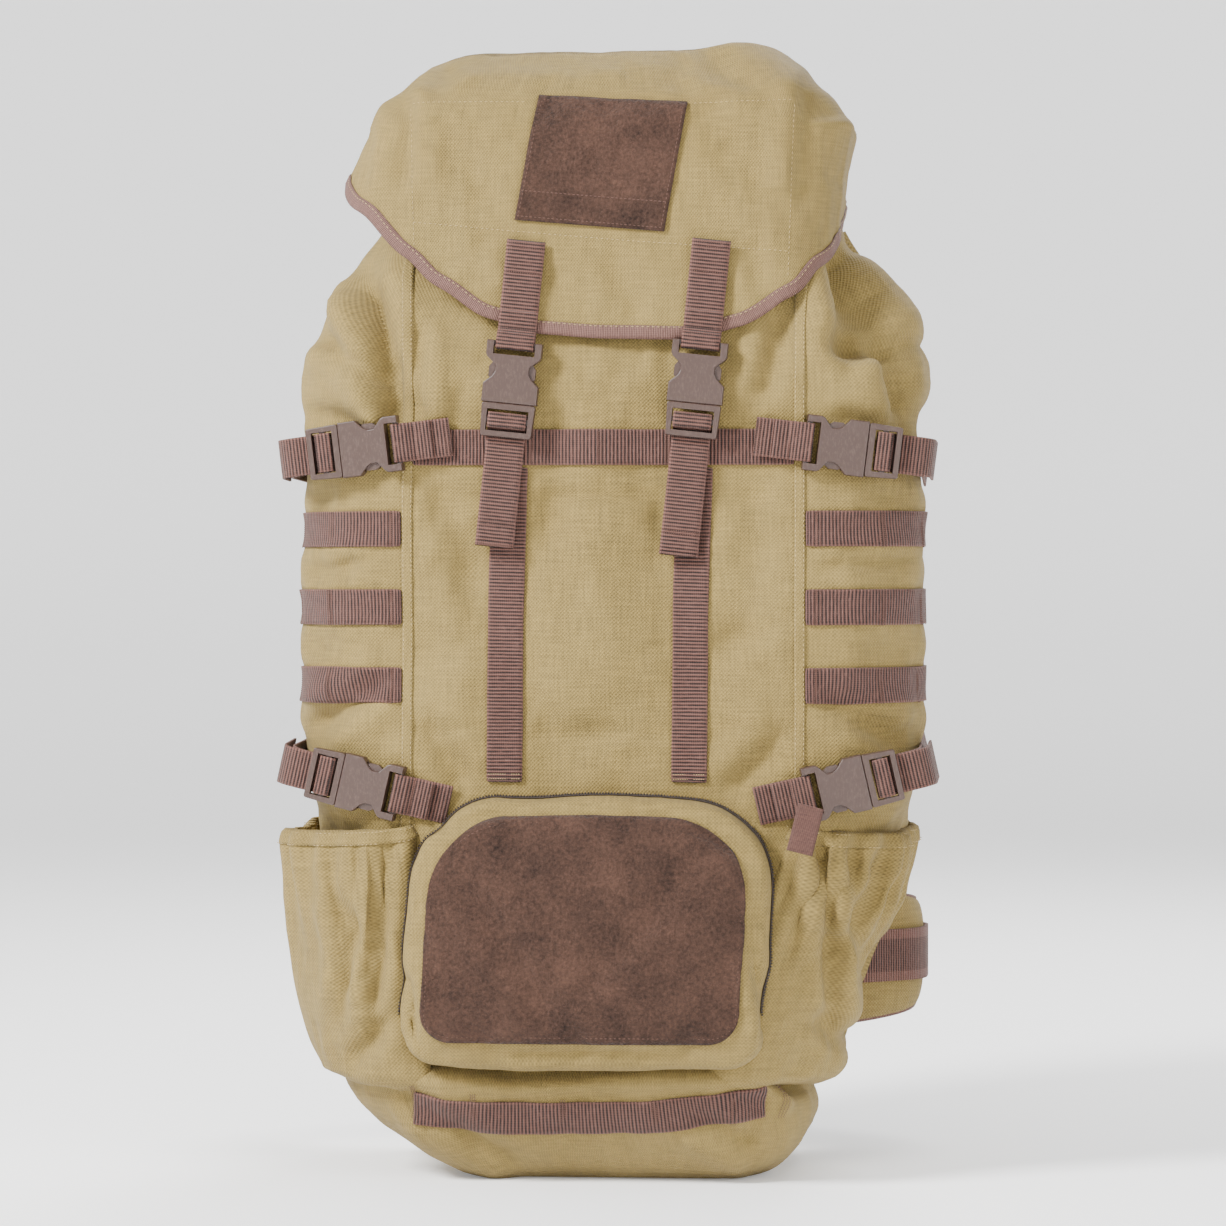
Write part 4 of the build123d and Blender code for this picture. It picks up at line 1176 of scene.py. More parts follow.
def makeLidTrim():
    ways = stops(-566, 566, 190)
    route = []
    for way in ways:
        spot, outward = lidSpot(way, 1.0)
        route.append((spot + Vector((0, 0, 0.0035)), outward))
    outside = stripOn("outside", route, lid["binding"], 1.0, bindingTape, lidSurface, 0.15, across=3)
    inner = [(spot - outward * 3.2 * mm, outward) for spot, outward in route]
    inside = stripOn(
        "inside", inner, lid["binding"], 1.0, bindingTape,
        BVHTree.FromPolygons([Vector((9, 9, 9)), Vector((9, 9, 8)), Vector((9, 8, 9))], [(0, 1, 2)]), 0.0,
        across=3,
    )
    binding = join([outside, inside], "lidBinding")
    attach(binding, "lid")
    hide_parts("lid_binding")
    # loop patch, wrapped over the brow
    low, right, top, left = [
        Vector((x, 0, z)) for x, z in (lid["patch"][0], lid["patch"][1], lid["patch"][2], lid["patch"][3])
    ]

    def patchAt(u, v):
        spot = low.lerp(right, u).lerp(left.lerp(top, u), v) + Vector((0, -126, 0))
        return layOn(lidSurface, spot * mm, Vector((0, -1, 0)), 0.2 * mm), (u * 0.097, v * 0.085)

    bm = sheetFrom(36, 32, patchAt)
    bm.normal_update()
    if bm.faces[:][200].normal.y > 0:
        bmesh.ops.reverse_faces(bm, faces=bm.faces)
    thicken(bm, 1.9 * mm)
    patch = keepMesh(bm, "lidPatch", loopCloth)
    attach(patch, "lid")
    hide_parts("lid_patch")
    # topstitching
    stitches = bmesh.new()
    front = Vector((0, -1, 0))

    def across(points, lift=0.25, pitch=3.4):
        stitchRow(
            stitches, [(Vector((x, -126, z)) * mm, front) for x, z in points], pitch, 2.2, 0.5, 0.4,
            lidSurface, lift,
        )

    across([(-122, 626), (-60, 620), (20, 613), (121, 606)])
    across([(-126, 700), (-124, 650), (-122, 600)])
    across([(124, 700), (122, 650), (120, 590)])
    across([(-52, 704), (-125, 704)])
    across([(60, 702), (122, 704)])
    stitchRow(
        stitches, [(spot + Vector((0, 0, 0.0035)), outward) for spot, outward in route], 3.4, 2.2, 0.5, 0.4,
        lidSurface, 1.3,
    )
    keepStitches(stitches, "lidStitches", thread, "lid")
    brown = bmesh.new()
    corners = [(-54.5, 629.5), (38, 621.5), (52.5, 699.5), (-39.5, 705.5), (-54.5, 629.5)]
    stitchRow(
        brown, [(Vector((x, -126, z)) * mm, front) for x, z in corners], 2.8, 2.0, 0.6, 0.5, lidSurface, 2.1
    )
    stitchRow(
        brown, [(Vector((-52, -126, 646)) * mm, front), (Vector((42, -126, 638)) * mm, front)], 2.8, 2.0,
        0.6, 0.5, lidSurface, 2.1,
    )
    keepStitches(brown, "patchStitches", brownThread, "lid")


makeLidTrim()


def makeLidLining():
    def spotAt(u, v):
        flat, _ = roundSpot(lid["rim"][1:], (u - 0.5) * 2 * halfRound)
        size = v * 0.93
        spot = Vector(
            (flat.x * size, flat.y * size, 688 - 5 * (1 - v**2) + 1.2 * math.sin(u * 40) * v**3)
        ) * mm
        return spot, (spot.x, spot.y)

    piece = refine(keepMesh(faceOut(sheetFrom(90, 24, spotAt)), "lidLining", liningCanvas))
    addSag(piece, 1.4, 0.06, 2.2)
    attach(piece, "lid")


makeLidLining()
print("lid trimmed")


def makeZip(name, route, tapeWidth, surface, body, replaced):
    tapePiece = stripOn("tape", route, tapeWidth, 0.7, zipCloth, surface, 0.3, across=4)
    coil = bmesh.new()
    for shift, size in ((-1.1, 1.0), (1.1, 1.0)):
        moved = []
        for index, (spot, outward) in enumerate(route):
            following = route[min(index + 1, len(route) - 1)][0] - route[max(index - 1, 0)][0]
            moved.append(
                (spot + following.normalized().cross(Vector(outward)).normalized() * shift * mm, outward)
            )
        stitchRow(coil, moved, 1.9, 1.1, 3.0 * size, 1.5, surface, 1.3)
    teeth = keepMesh(coil, "teeth", zipTeeth)
    piece = join([tapePiece, teeth], name)
    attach(piece, body)
    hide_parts(replaced)
    return piece


zipTeeth = makePlastic("zipTeeth", {**plasticLook, "base": (38, 28, 23), "scuffed": (78, 62, 54)}, 0.3)
makeZip(
    "lidZip", [(Vector((x, 110.5, 704)) * mm, Vector((0, 1, 0))) for x in (-102, -60, -20, 20, 60, 102)],
    11, lidSurface, "lid", "lid_zip",
)


pocket = {
    "middle": -5.0,
    "half": 112.0,
    "low": 84.0,
    "high": 248.0,
    "shoulder": 50.0,
    "foot": 20.0,
    "face": -147.0,
    "crown": 6.0,
}


def pocketEdges(x, inset):
    # lowest and highest point of the pocket's face at x, measured from its middle
    half = pocket["half"] - inset
    x = min(abs(x), half)

    def corner(radius):
        past = max(x - (half - radius), 0.0)
        return radius - math.sqrt(max(radius**2 - past**2, 0.0))

    low = pocket["low"] + inset + corner(pocket["foot"])
    high = pocket["high"] - inset - corner(pocket["shoulder"]) - 5 * (x / half) ** 2
    return low, high


def pocketFace(u, v, inset):
    half = pocket["half"] - inset
    share = math.sin((u - 0.5) * math.pi)  # closer together at the sides
    share = mix((u - 0.5) * 2, share, 0.7)
    x = share * half
    low, high = pocketEdges(x, inset)
    z = mix(low, high, v)
    crown = pocket["crown"] * (1 - share**4) * (1 - (2 * v - 1) ** 4)
    lean = leanAt(z) * 0.35
    return Vector((x + pocket["middle"] + lean, pocket["face"] - crown, z))


def makeFrontPocket():
    def spotAt(u, v):
        spot = pocketFace(u, v, 0) * mm
        return spot, (spot.x, spot.z)

    bm = sheetFrom(56, 40, spotAt)
    centre = Vector((pocket["middle"] - 2, 0, (pocket["low"] + pocket["high"]) / 2)) * mm
    core = Vector((pocket["half"] - 45, 0, 38)) * mm
    for out, back in ((2.6, 2.2), (2.6, 5.0), (0.8, 7.0), (0.0, 9.0), (-0.6, 6.0)):
        rim = [edge for edge in bm.edges if edge.is_boundary]
        made = bmesh.ops.extrude_edge_only(bm, edges=rim)
        for vert in [item for item in made["geom"] if isinstance(item, bmesh.types.BMVert)]:
            offset = vert.co - centre
            inner = Vector(
                (max(-core.x, min(core.x, offset.x)), offset.y, max(-core.z, min(core.z, offset.z)))
            )
            outward = (offset - inner).normalized()
            vert.co += outward * out * mm + Vector((0, back * mm, 0))
    faceOut(bm)
    bm.normal_update()
    middleFace = min(
        bm.faces, key=lambda face: (face.calc_center_median() - Vector((0, -0.153, 0.16))).length
    )
    if middleFace.normal.y > 0:
        bmesh.ops.reverse_faces(bm, faces=bm.faces)
    clothFromPosition(bm)
    piece = keepMesh(bm, "frontPocket", canvas)
    puff(piece, 3.0, 0.02, 3.5, lambda spot: 1.0 if spot[1] > -132 else (0.5 if spot[1] > -140 else 0.0))
    refine(piece)
    pressFolds(piece, [
        ((-116, 232), (-60, 244), 5, 2, "front"), ((60, 236), (96, 214), 5, 2.4, "front"), (
            (-126, 140), (-122, 100), 5, 3, "front"
        ),
        ((100, 150), (108, 100), 5, 3, "front"), ((-60, 88), (40, 90), 4, 1.5, "front"),
        ((60, 210), (-40, 120), 9, 1.1, "front"), ((40, 180), (-20, 120), 6, 0.9, "front"), (
            (-80, 190), (-30, 110), 9, 1.0, "front"
        ),
    ])
    addSag(piece, 1.8, 0.06, 4.4)
    surface = surfaceOf(piece)
    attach(piece, "pack")
    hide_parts("front_pocket")
    # loop panel on its face
    inset = 8.0

    def panelSpot(u, v):
        spot = pocketFace(u, v, inset)
        middle = (pocket["low"] + pocket["high"]) / 2
        return Vector((spot.x * 0.985 - 1.0, spot.y, middle + 3.5 + (spot.z - middle) * 0.985))

    def panelAt(u, v):
        spot = panelSpot(u, v)
        return layOn(surface, spot * mm, Vector((0, -1, 0)), 0.25 * mm), (spot.x * mm, spot.z * mm)

    bm = sheetFrom(64, 46, panelAt)
    bm.normal_update()
    if min(
        bm.faces,
        key=lambda face: abs(face.calc_center_median().x) + abs(face.calc_center_median().z - 0.16),
    ).normal.y > 0:
        bmesh.ops.reverse_faces(bm, faces=bm.faces)
    thicken(bm, 1.9 * mm)
    panel = keepMesh(bm, "pocketLoopPanel", loopCloth)
    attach(panel, "pack")
    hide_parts("pocket_loop_panel")
    outline = []
    for u in stops(0.03, 0.97, 40):
        outline.append(panelSpot(u, 0.975))
    for u in stops(0.97, 0.03, 40):
        outline.append(panelSpot(u, 0.025))
    outline.append(outline[0])
    brown = bmesh.new()
    stitchRow(
        brown, [(spot * mm, Vector((0, -1, 0))) for spot in outline], 3.0, 2.1, 0.6, 0.5, surface, 2.0
    )
    keepStitches(brown, "panelStitches", brownThread)
    # zip round the gusset
    zipRoute = []
    outlineSpots = [pocketFace(0, v, 0) for v in stops(0.12, 1, 12)] + [
        pocketFace(u, 1, 0) for u in stops(0.02, 0.98, 70)
    ] + [pocketFace(1, v, 0) for v in stops(1, 0.12, 12)]
    for spot in outlineSpots:
        offset = spot * mm - centre
        inner = Vector((max(-core.x, min(core.x, offset.x)), offset.y, max(-core.z, min(core.z, offset.z))))
        outward = (offset - inner).normalized()
        outward.y = 0
        outward.normalize()
        spotOut = Vector((spot.x * mm, -0.1315, spot.z * mm)) + outward * 6.4 * mm
        zipRoute.append((spotOut, outward))
    makeZip("pocketZip", zipRoute, 9, surface, "pack", "pocket_zip")
    return piece


makeFrontPocket()
print("front pocket made")


pouch = {"start": 131.0, "end": 381.0, "low": 68.0, "high": 234.0, "gathers": 13}


def makeSidePocket(side, name):
    def spotAt(u, v):
        way = side * mix(pouch["start"], pouch["end"], u)
        fill = math.sin(math.pi * min(max(u, 0.0), 1.0)) ** 0.45
        if v < 0.08:
            share = v / 0.08
            room, height = mix(-3, 15, math.sin(share * math.pi / 2)), pouch["low"] - 5 * (1 - share)
        else:
            share = (v - 0.08) / 0.92
            height = mix(pouch["low"], pouch["high"] - 8 * fill, share)
            room = (mix(20, 19, share) if side < 0 else mix(18, 7, share)) + 4 * math.sin(share * math.pi)
            if share > 0.95:
                room -= 2.5 * (share - 0.95) / 0.05
            gather = math.sin(
                u * pouch["gathers"] * 2 * math.pi + 1.4 * math.sin(u * 9)
            ) * ease(0.3, 0.97, share) * 4.2
            broad = math.sin(
                u * 5.2 * math.pi + share * 1.4 + (0 if side < 0 else 1.7)
            ) * 3.6 * ease(0.0, 0.5, share)
            room += gather + broad
        spot, _ = bagSpot(way, height, room * fill + 0.8)
        return spot, (way * mm, height * mm)

    bm = sheetFrom(96, 40, spotAt)
    bm.normal_update()
    outer = min(bm.faces, key=lambda face: -abs(face.calc_center_median().x))
    if outer.normal.x * side < 0:
        bmesh.ops.reverse_faces(bm, faces=bm.faces)
    piece = keepMesh(bm, name, canvas)
    puff(
        piece, 1.6, 0.03, 4.0,
        lambda spot: 1.0 if spot[2] < 70 or spot[1] > 70 or (
            spot[1] < -118 and abs(spot[0] - leanAt(spot[2])) < 136
        ) else 0.0,
        frames=16,
    )
    refine(piece)
    pressFolds(piece, [
        (
            (side * 142, 228), (side * 150, 110), 6, 5.5, "front"
        ), ((side * 160, 222), (side * 168, 120), 6, 4.5, "front"),
        (
            (side * 178, 215), (side * 172, 140), 6, 3, "front"
        ), ((side * 138, 110), (side * 168, 78), 7, 4, "front"),
        ((side * 148, 150), (side * 184, 196), 7, 2.5, "front"),
    ])
    addSag(piece, 4.2, 0.05, 6.6 + side)
    surface = surfaceOf(piece)
    wall = piece.modifiers.new("wall", "SOLIDIFY")
    wall.thickness, wall.offset = 1.2 * mm, -1
    bake(piece)
    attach(piece, "pack")
    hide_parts("side_pocket_" + ("left" if side < 0 else "right"))
    # elastic hem: a soft roll along the top
    hem = []
    for u in stops(0.0, 1.0, 90):
        spot, _ = spotAt(u, 0.985)
        _, outward = bagSpot(side * mix(pouch["start"], pouch["end"], u), 230)
        hem.append((spot, outward))
    strip = stripOn("hem" + name, hem, 11, 1.3, canvas, surface, 0.1, across=4)
    strip.name = name + "Hem"
    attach(strip, "pack")
    rows = bmesh.new()
    for shift in (-4.2, 3.6):
        stitchRow(
            rows, [(spot + Vector((0, 0, shift * mm)), outward) for spot, outward in hem], 3.2, 2.2, 0.5,
            0.4, surface, 1.5,
        )
    keepStitches(rows, name + "Stitches", thread)


makeSidePocket(-1, "sidePocketLeft")
makeSidePocket(1, "sidePocketRight")


def makeLabelTab():
    low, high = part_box("label_tab")
    middle = (low + high) / 2

    def spotAt(u, v):
        x, z = (u - 0.5) * 17 * mm, (v - 0.5) * 31 * mm
        tilt = math.radians(-14)
        spot = Vector(
            (
                x * math.cos(tilt) - z * math.sin(tilt), 2.2 * mm * math.sin(v * 2.6),
                x * math.sin(tilt) + z * math.cos(tilt),
            )
        )
        return middle + spot + Vector((-0.006, -0.003, 0.010)), (x, z)

    bm = sheetFrom(8, 14, spotAt)
    bm.normal_update()
    if bm.faces[:][20].normal.y > 0:
        bmesh.ops.reverse_faces(bm, faces=bm.faces)
    thicken(bm, 1.4 * mm)
    piece = keepMesh(bm, "labelTab", makeWebbing("labelTape", {**webbingLook, "depth": 0.12 * mm}, 1300.0))
    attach(piece, "pack")
    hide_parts("label_tab")


makeLabelTab()
print("side pockets made")


def roundedRoute(points, radii):
    # points joined by straight runs, with a bend at each corner
    spots = [Vector(point) for point in points]
    route = [spots[0]]
    for index in range(1, len(spots) - 1):
        before, corner, after = spots[index - 1], spots[index], spots[index + 1]
        into, out = (corner - before), (after - corner)
        reach = min(radii[index - 1], into.length * 0.49, out.length * 0.49)
        first, last = corner - into.normalized() * reach, corner + out.normalized() * reach
        bends = max(int(reach / 1.2), 5) if reach < 8 else 12
        for step in range(bends + 1):
            share = step / bends
            route.append(first.lerp(corner, share).lerp(corner.lerp(last, share), share))
    route.append(spots[-1])
    return route


def evenRoute(route, step):
    # the same route with points no further apart than step
    spots = [route[0]]
    for a, b in zip(route, route[1:]):
        count = max(int(math.ceil((b - a).length / step)), 1)
        spots += [a.lerp(b, index / count) for index in range(1, count + 1)]
    return spots


def ribbon(name, route, across, width, thickness, material, wave=0.0):
    # a strap along a route, in metres; across(share) gives the direction of its width
    spots = [route[0]]
    for spot in route[1:]:
        if (spot - spots[-1]).length > 0.25 * mm:
            spots.append(spot)
    lengths = runLengths(spots)
    bm = bmesh.new()
    count, columns = len(spots), 6
    bmesh.ops.create_grid(bm, x_segments=columns, y_segments=count - 1, size=0.5)
    cloth = bm.loops.layers.uv.new("cloth")
    where = {}
    for vert in bm.verts:
        index = min(int(round((vert.co.y + 0.5) * (count - 1))), count - 1)
        offset = vert.co.x * width
        share = lengths[index] / lengths[-1]
        sideways = across(share) if callable(across) else across
        forward = headingAt(spots, index)
        outward = forward.cross(sideways).normalized()
        curl = wave * math.sin(share * 7.0 + 1.0) + wave * 0.6 * math.cos(vert.co.x * 3 + share * 11)
        where[vert] = (spots[index] + sideways * offset + outward * curl, (offset, lengths[index]))
    placeGrid(bm, cloth, where)
    bm.normal_update()
    for vert in bm.verts:
        vert.co -= vert.normal * thickness / 2
    thicken(bm, thickness)
    return keepMesh(bm, name, material)


buckle = {
    "socketEnd": 40.0, "bar": 3.6, "upper": -7.0, "lower": -15.8, "under": -5.2, "over": 3.6, "tail": -1.6,
    "thread": 1.3,
}


def buckleSpot(mouth, along, outward, scale=1.0):
    # from the buckle's own lengthwise and outward millimetres to a point of the frame
    return lambda u, w: (mouth + along * u * scale + outward * w * scale) * mm


def lacedPlug(at, load, loadRadii, tail, tailRadii):
    # in behind the plug, over its middle bar and out under its end bar
    laced = [
        (buckle["upper"], buckle["under"]), (buckle["upper"], buckle["over"]),
        (buckle["lower"], buckle["over"]), (buckle["lower"], buckle["tail"]),
    ]
    points = [at(*point) for point in [*load, *laced, *tail]]
    radii = [r * mm for r in [*loadRadii, *[buckle["thread"]] * 4, *tailRadii]]
    return evenRoute(roundedRoute(points, radii), 3 * mm)


def socketLoop(at, leg, legRadii):
    # round the socket's bar and back under itself
    bar = buckle["socketEnd"] - buckle["bar"] / 2
    off = buckle["bar"] / 2 + 1.1
    loop = [(bar + 22, -off + 0.6), (bar - off, -off), (bar - off, off), (bar + off + 3, 0.9)]
    points = [at(*point) for point in [*loop, *leg]]
    radii = [r * mm for r in [buckle["thread"]] * 2 + [2.0] + legRadii]
    return evenRoute(roundedRoute(points, radii), 3 * mm)


def stitchAcross(stitches, at, across, places, lift, width=21.0, pitch=1.5, thickness=0.5):
    for u, w in places:
        middle = at(u, w + lift)
        outward = (at(u, w + 10) - at(u, w)).normalized()
        reach = across * width / 2 * mm
        stitchRow(
            stitches, [(middle - reach, outward), (middle + reach, outward)], pitch, 1.2, thickness, 0.45
        )


def makeLidStraps():
    straps = []
    stitches = {"lid": bmesh.new(), "lid_plug_left": bmesh.new(), "lid_plug_right": bmesh.new()}
    for side, name in ((-1, "left"), (1, "right")):
        lean = math.radians(6)
        along = Vector((math.sin(lean), 0, math.cos(lean)))
        outward = Vector((0, -1, 0))
        across = outward.cross(along)
        mouth = Vector((side * 60, -131.6, 508))
        at = buckleSpot(mouth, along, outward)
        leg = [(48, -3.2), (58, -2.6), (76, -2.4), (106, -2.0)]
        strap = ribbon(
            "lidStrap" + name, socketLoop(at, leg, [6, 10, 10]), across, 25 * mm, 1.6 * mm, webbing,
            0.25 * mm,
        )
        straps.append(strap)
        stitchAcross(
            stitches["lid"], at, across, [(104, -2.0), (101, -2.0), (88, -2.2), (85, -2.2), (50, -3.0)], 1.1
        )
        tailLength = 92 if side < 0 else 98
        tail = [
            (-30, buckle["tail"] - 0.6), (-62, buckle["tail"] + 0.8), (-tailLength, buckle["tail"] + 2.2),
            (-tailLength - 1, buckle["tail"] - 0.4), (-tailLength + 12, buckle["tail"] + 0.2),
        ]
        route = lacedPlug(
            at, [(buckle["lower"] - 12, buckle["under"] - 0.6), (buckle["lower"] + 2, buckle["under"])],
            [3], tail, [12, 12, 1.2, 1.0],
        )
        piece = ribbon("lidTail" + name.capitalize(), route, across, 25 * mm, 1.5 * mm, webbing, 0.1 * mm)
        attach(piece, "lid_plug_" + name)
        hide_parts("lid_tail_" + name)
        stitchAcross(
            stitches["lid_plug_" + name], at, across,
            [(-tailLength + 13, buckle["tail"] + 1.9), (-tailLength + 15, buckle["tail"] + 1.9)], 1.0,
        )
    piece = join(straps, "lidStraps")
    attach(piece, "lid")
    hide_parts("lid_straps")
    for body, bm in stitches.items():
        keepStitches(bm, "strapStitches_" + body, brownThread, body)


makeLidStraps()

side = {
    "angle": 8.0, "standoff": 6.0, "setOut": 27.0, "clear": 5.0, "turn": 34.0,
    "rows": {"upper": (478.0, 7.0, 1.9), "lower": (264.0, -13.0, 0.0)},
}


def makeSideStraps():
    anchors, stitches = [], bmesh.new()
    for row, (height, tilt, lift) in side["rows"].items():
        for way, name in ((-1, "left"), (1, "right")):
            angle, tip = math.radians(side["angle"]), math.radians(tilt)
            outward = Vector((way * math.sin(angle), -math.cos(angle), 0))
            inward = Vector((-way * math.cos(angle), -math.sin(angle), 0))
            touch = Vector((way * 133, -52, height)) + outward * 70
            along = inward * math.cos(tip) + Vector((0, 0, math.sin(tip)))
            mouth = touch + outward * side["standoff"] - inward * side["setOut"]
            across = outward.cross(along).normalized()
            at = buckleSpot(mouth, along, outward)
            # sewn end on the front
            frontY = -122 - 1.1 - lift - 12.5 * math.sin(angle) * abs(math.sin(tip)) - 0.8
            leg = [(u, (mouth.y + u * along.y - frontY) / math.cos(angle) + 1.2) for u in (50, 72)]
            anchors.append(
                ribbon("anchor", socketLoop(at, leg, [5]), across, 25 * mm, 1.6 * mm, webbing, 0.15 * mm)
            )
            for u in (53, 55, 69, 71):
                stitchAcross(
                    stitches, at, across, [(u, (mouth.y + u * along.y - frontY) / math.cos(angle) + 1.2)],
                    1.0,
                )
            # the strap that turns the corner
            runU, runW = -math.sin(angle) / math.cos(tip), -math.cos(angle)
            meetU = (
                abs(mouth.x) + buckle["under"] * math.sin(angle) - 203 - side["clear"]
            ) / (math.cos(angle) * math.cos(tip))
            meetY = mouth.y + meetU * along.y + buckle["under"] * outward.y
            reach = 58 - meetY
            outer = meetU - 4.2
            dangle = 50 if row == "upper" else 62
            load = [
                (meetU + runU * (reach + 4), buckle["under"] + runW * (reach + 4)),
                (meetU + runU * reach, buckle["under"] + runW * reach), (meetU, buckle["under"]),
            ]
            tail = [(outer, buckle["tail"]), (outer + runU * dangle - 1.5, buckle["tail"] + runW * dangle)]
            route = lacedPlug(at, load, [10, side["turn"]], tail, [30])
            piece = ribbon(
                row + "Strap" + name.capitalize(), route, across, 25 * mm, 1.5 * mm, webbing, 0.1 * mm
            )
            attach(piece, row + "_plug_" + name)
            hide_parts(row + "_strap_" + name)
            # its sewn end in the back seam
            stubHeight = height + (meetU + runU * reach) * math.sin(tip)
            ways = [way * w for w in stops(334, 392, 8)]
            anchors.append(stripOn("stub", roundRoute(ways, stubHeight), 25, 1.6, webbing, bagSurface, 0.3))
    piece = join(anchors, "strapAnchors")
    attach(piece, "pack")
    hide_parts("strap_anchors")
    keepStitches(stitches, "anchorStitches", brownThread)


makeSideStraps()
print("buckle straps made")


collar = {"low": (630, 151, 87, 95, 60), "high": (686, 122, 67, 75, 50), "gathers": 34}


def makeCollar():
    def spotAt(u, v):
        way = (u - 0.5) * 2 * halfRound
        level = [mix(a, b, v) for a, b in zip(collar["low"], collar["high"])]
        flat, outward = roundSpot(level[1:], way)
        tight = ease(0.25, 0.95, v)
        ripple = math.sin(
            u * collar["gathers"] * 2 * math.pi + 2 * math.sin(u * 17)
        ) * 2.4 * tight - 1.6 * tight
        spot = (
            flat + outward * (ripple - 0.4) + Vector((0, 0, level[0] - 1 + 1.2 * tight * math.sin(u * 60)))
        ) * mm
        return spot, (way * mm, level[0] * mm)

    bm = faceOut(sheetFrom(230, 20, spotAt))
    piece = refine(keepMesh(bm, "drawcordCollar", liningCanvas))
    addSag(piece, 1.2, 0.03, 9.2, lambda spot: ease(634, 650, spot[2]))
    wall = piece.modifiers.new("wall", "SOLIDIFY")
    wall.thickness, wall.offset = 1.0 * mm, -1
    bake(piece)
    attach(piece, "pack")
    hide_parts("drawcord_collar")


makeCollar()


def twistedRing(name, level, radius, material):
    # a closed round cord that follows one level, with the braid raised on it
    count, sides = 260, 10

    def spotAt(u, v):
        way = (v - 0.5) * 2 * halfRound
        flat, outward = roundSpot(level[1:], way)
        turn = u * 2 * math.pi
        braid = 1 + 0.1 * math.sin(turn * 3 + v * 900) + 0.1 * math.sin(turn * 3 - v * 900)
        spot = flat + outward * math.cos(turn) * radius * braid + Vector(
            (0, 0, level[0] + math.sin(turn) * radius * braid)
        )
        return spot * mm, (u * 0.009, way * mm)

    piece = keepMesh(faceOut(sheetFrom(sides, count, spotAt)), name, material)
    return piece


low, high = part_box("drawcord")
drawcord = twistedRing(
    "drawcordRing",
    ((low.z + high.z) / 2 / mm, high.x / mm - 1.5, -low.y / mm - 1.5, high.y / mm - 1.5, 52), 1.5, webbing,
)
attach(drawcord, "pack")
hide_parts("drawcord")
print("collar made")


def padAlong(name, route, across, width, thickness, outer, inner, taper=None):
    # a padded strip with rounded edges: outer cloth on its outside, mesh on the wearer's side, piping between
    spots = evenRoute(route, 6 * mm)
    lengths = runLengths(spots)
    rounds = 28
    bm = bmesh.new()
    bmesh.ops.create_grid(bm, x_segments=rounds, y_segments=len(spots) - 1, size=0.5)
    cloth = bm.loops.layers.uv.new("cloth")
    where = {}
    for vert in bm.verts:
        index = min(int(round((vert.co.y + 0.5) * (len(spots) - 1))), len(spots) - 1)
        share = lengths[index] / lengths[-1]
        turn = (vert.co.x + 0.5) * 2 * math.pi
        forward = headingAt(spots, index)
        sideways = (across - forward * across.dot(forward)).normalized()
        outward = forward.cross(sideways).normalized()
        ends = min(1.0, math.sqrt(max(min(share, 1 - share) * lengths[-1] / (9 * mm), 0.0)) + 0.15)
        half = width / 2 * (taper(share) if taper else 1.0) * (0.82 + 0.18 * ends)
        cosine, sine = math.cos(turn), math.sin(turn)
        x = math.copysign(abs(cosine) ** 0.55, cosine) * half
        puffed = 0.80 + 0.30 * (1 - abs(x / half) ** 2.5) + 0.05 * math.sin(
            share * lengths[-1] / (26 * mm) * math.pi
        )
        y = math.copysign(abs(sine) ** 0.7, sine) * thickness / 2 * puffed * ends
        where[vert] = (spots[index] + sideways * x + outward * y, (x, lengths[index]))
    for face in bm.faces:
        middle = face.calc_center_median().x + 0.5
        face.material_index = 0 if middle < 0.5 else 1
    placeGrid(bm, cloth, where)
    bmesh.ops.remove_doubles(bm, verts=bm.verts, dist=0.05 * mm)
    openEdges = [edge for edge in bm.edges if edge.is_boundary]
    if openEdges:
        bmesh.ops.holes_fill(bm, edges=openEdges, sides=0)
    faceOut(bm)
    piece = keepMesh(bm, name, outer)
    piece.data.materials.append(inner)
    refine(piece)
    addSag(piece, 1.1, 0.035, len(name))
    edges = []
    for sign in (-1, 1):
        line = []
        for index in range(0, len(spots)):
            share = lengths[index] / lengths[-1]
            forward = headingAt(spots, index)
            sideways = (across - forward * across.dot(forward)).normalized()
            line.append(spots[index] + sideways * sign * width / 2 * (taper(share) if taper else 1.0))
        edges.append(cordMesh("piping", line, 1.7 * mm, bindingTape))
    piece = join([piece, *edges], name)
    return piece


def cordMesh(name, line, radius, material):
    # a round bead along a line
    bm = bmesh.new()
    sides = 8
    bmesh.ops.create_grid(bm, x_segments=sides, y_segments=len(line) - 1, size=0.5)
    cloth = bm.loops.layers.uv.new("cloth")
    where = {}
    for vert in bm.verts:
        index = min(int(round((vert.co.y + 0.5) * (len(line) - 1))), len(line) - 1)
        forward = headingAt(line, index)
        sideways = forward.orthogonal() if abs(forward.x) > 0.9 else forward.cross(
            Vector((1, 0, 0))
        ).normalized()
        up = forward.cross(sideways).normalized()
        turn = (vert.co.x + 0.5) * 2 * math.pi
        spot = line[index] + (sideways.normalized() * math.cos(turn) + up * math.sin(turn)) * radius
        where[vert] = (spot, (turn * radius, index * 0.004))
    placeGrid(bm, cloth, where)
    bmesh.ops.remove_doubles(bm, verts=bm.verts, dist=0.02 * mm)
    faceOut(bm)
    return keepMesh(bm, name, material)


shoulder = {
    "rise": [(52, 106.9, 452), (52, 109.5, 556), (52, 150, 556)],
    "fall": [(52, 140, 558), (54, 188, 554), (98, 190, 440), (112, 165, 340), (105, 150, 272)],
    "tail": [(104.5, 146, 262), (104, 142, 244), (126, 103, 190), (134, 102.1, 62)],
    "lifter": [(72, 101.4, 580), (72, 101.4, 606), (72, 172, 566)],
    "width": 62,
    "thick": 12,
}


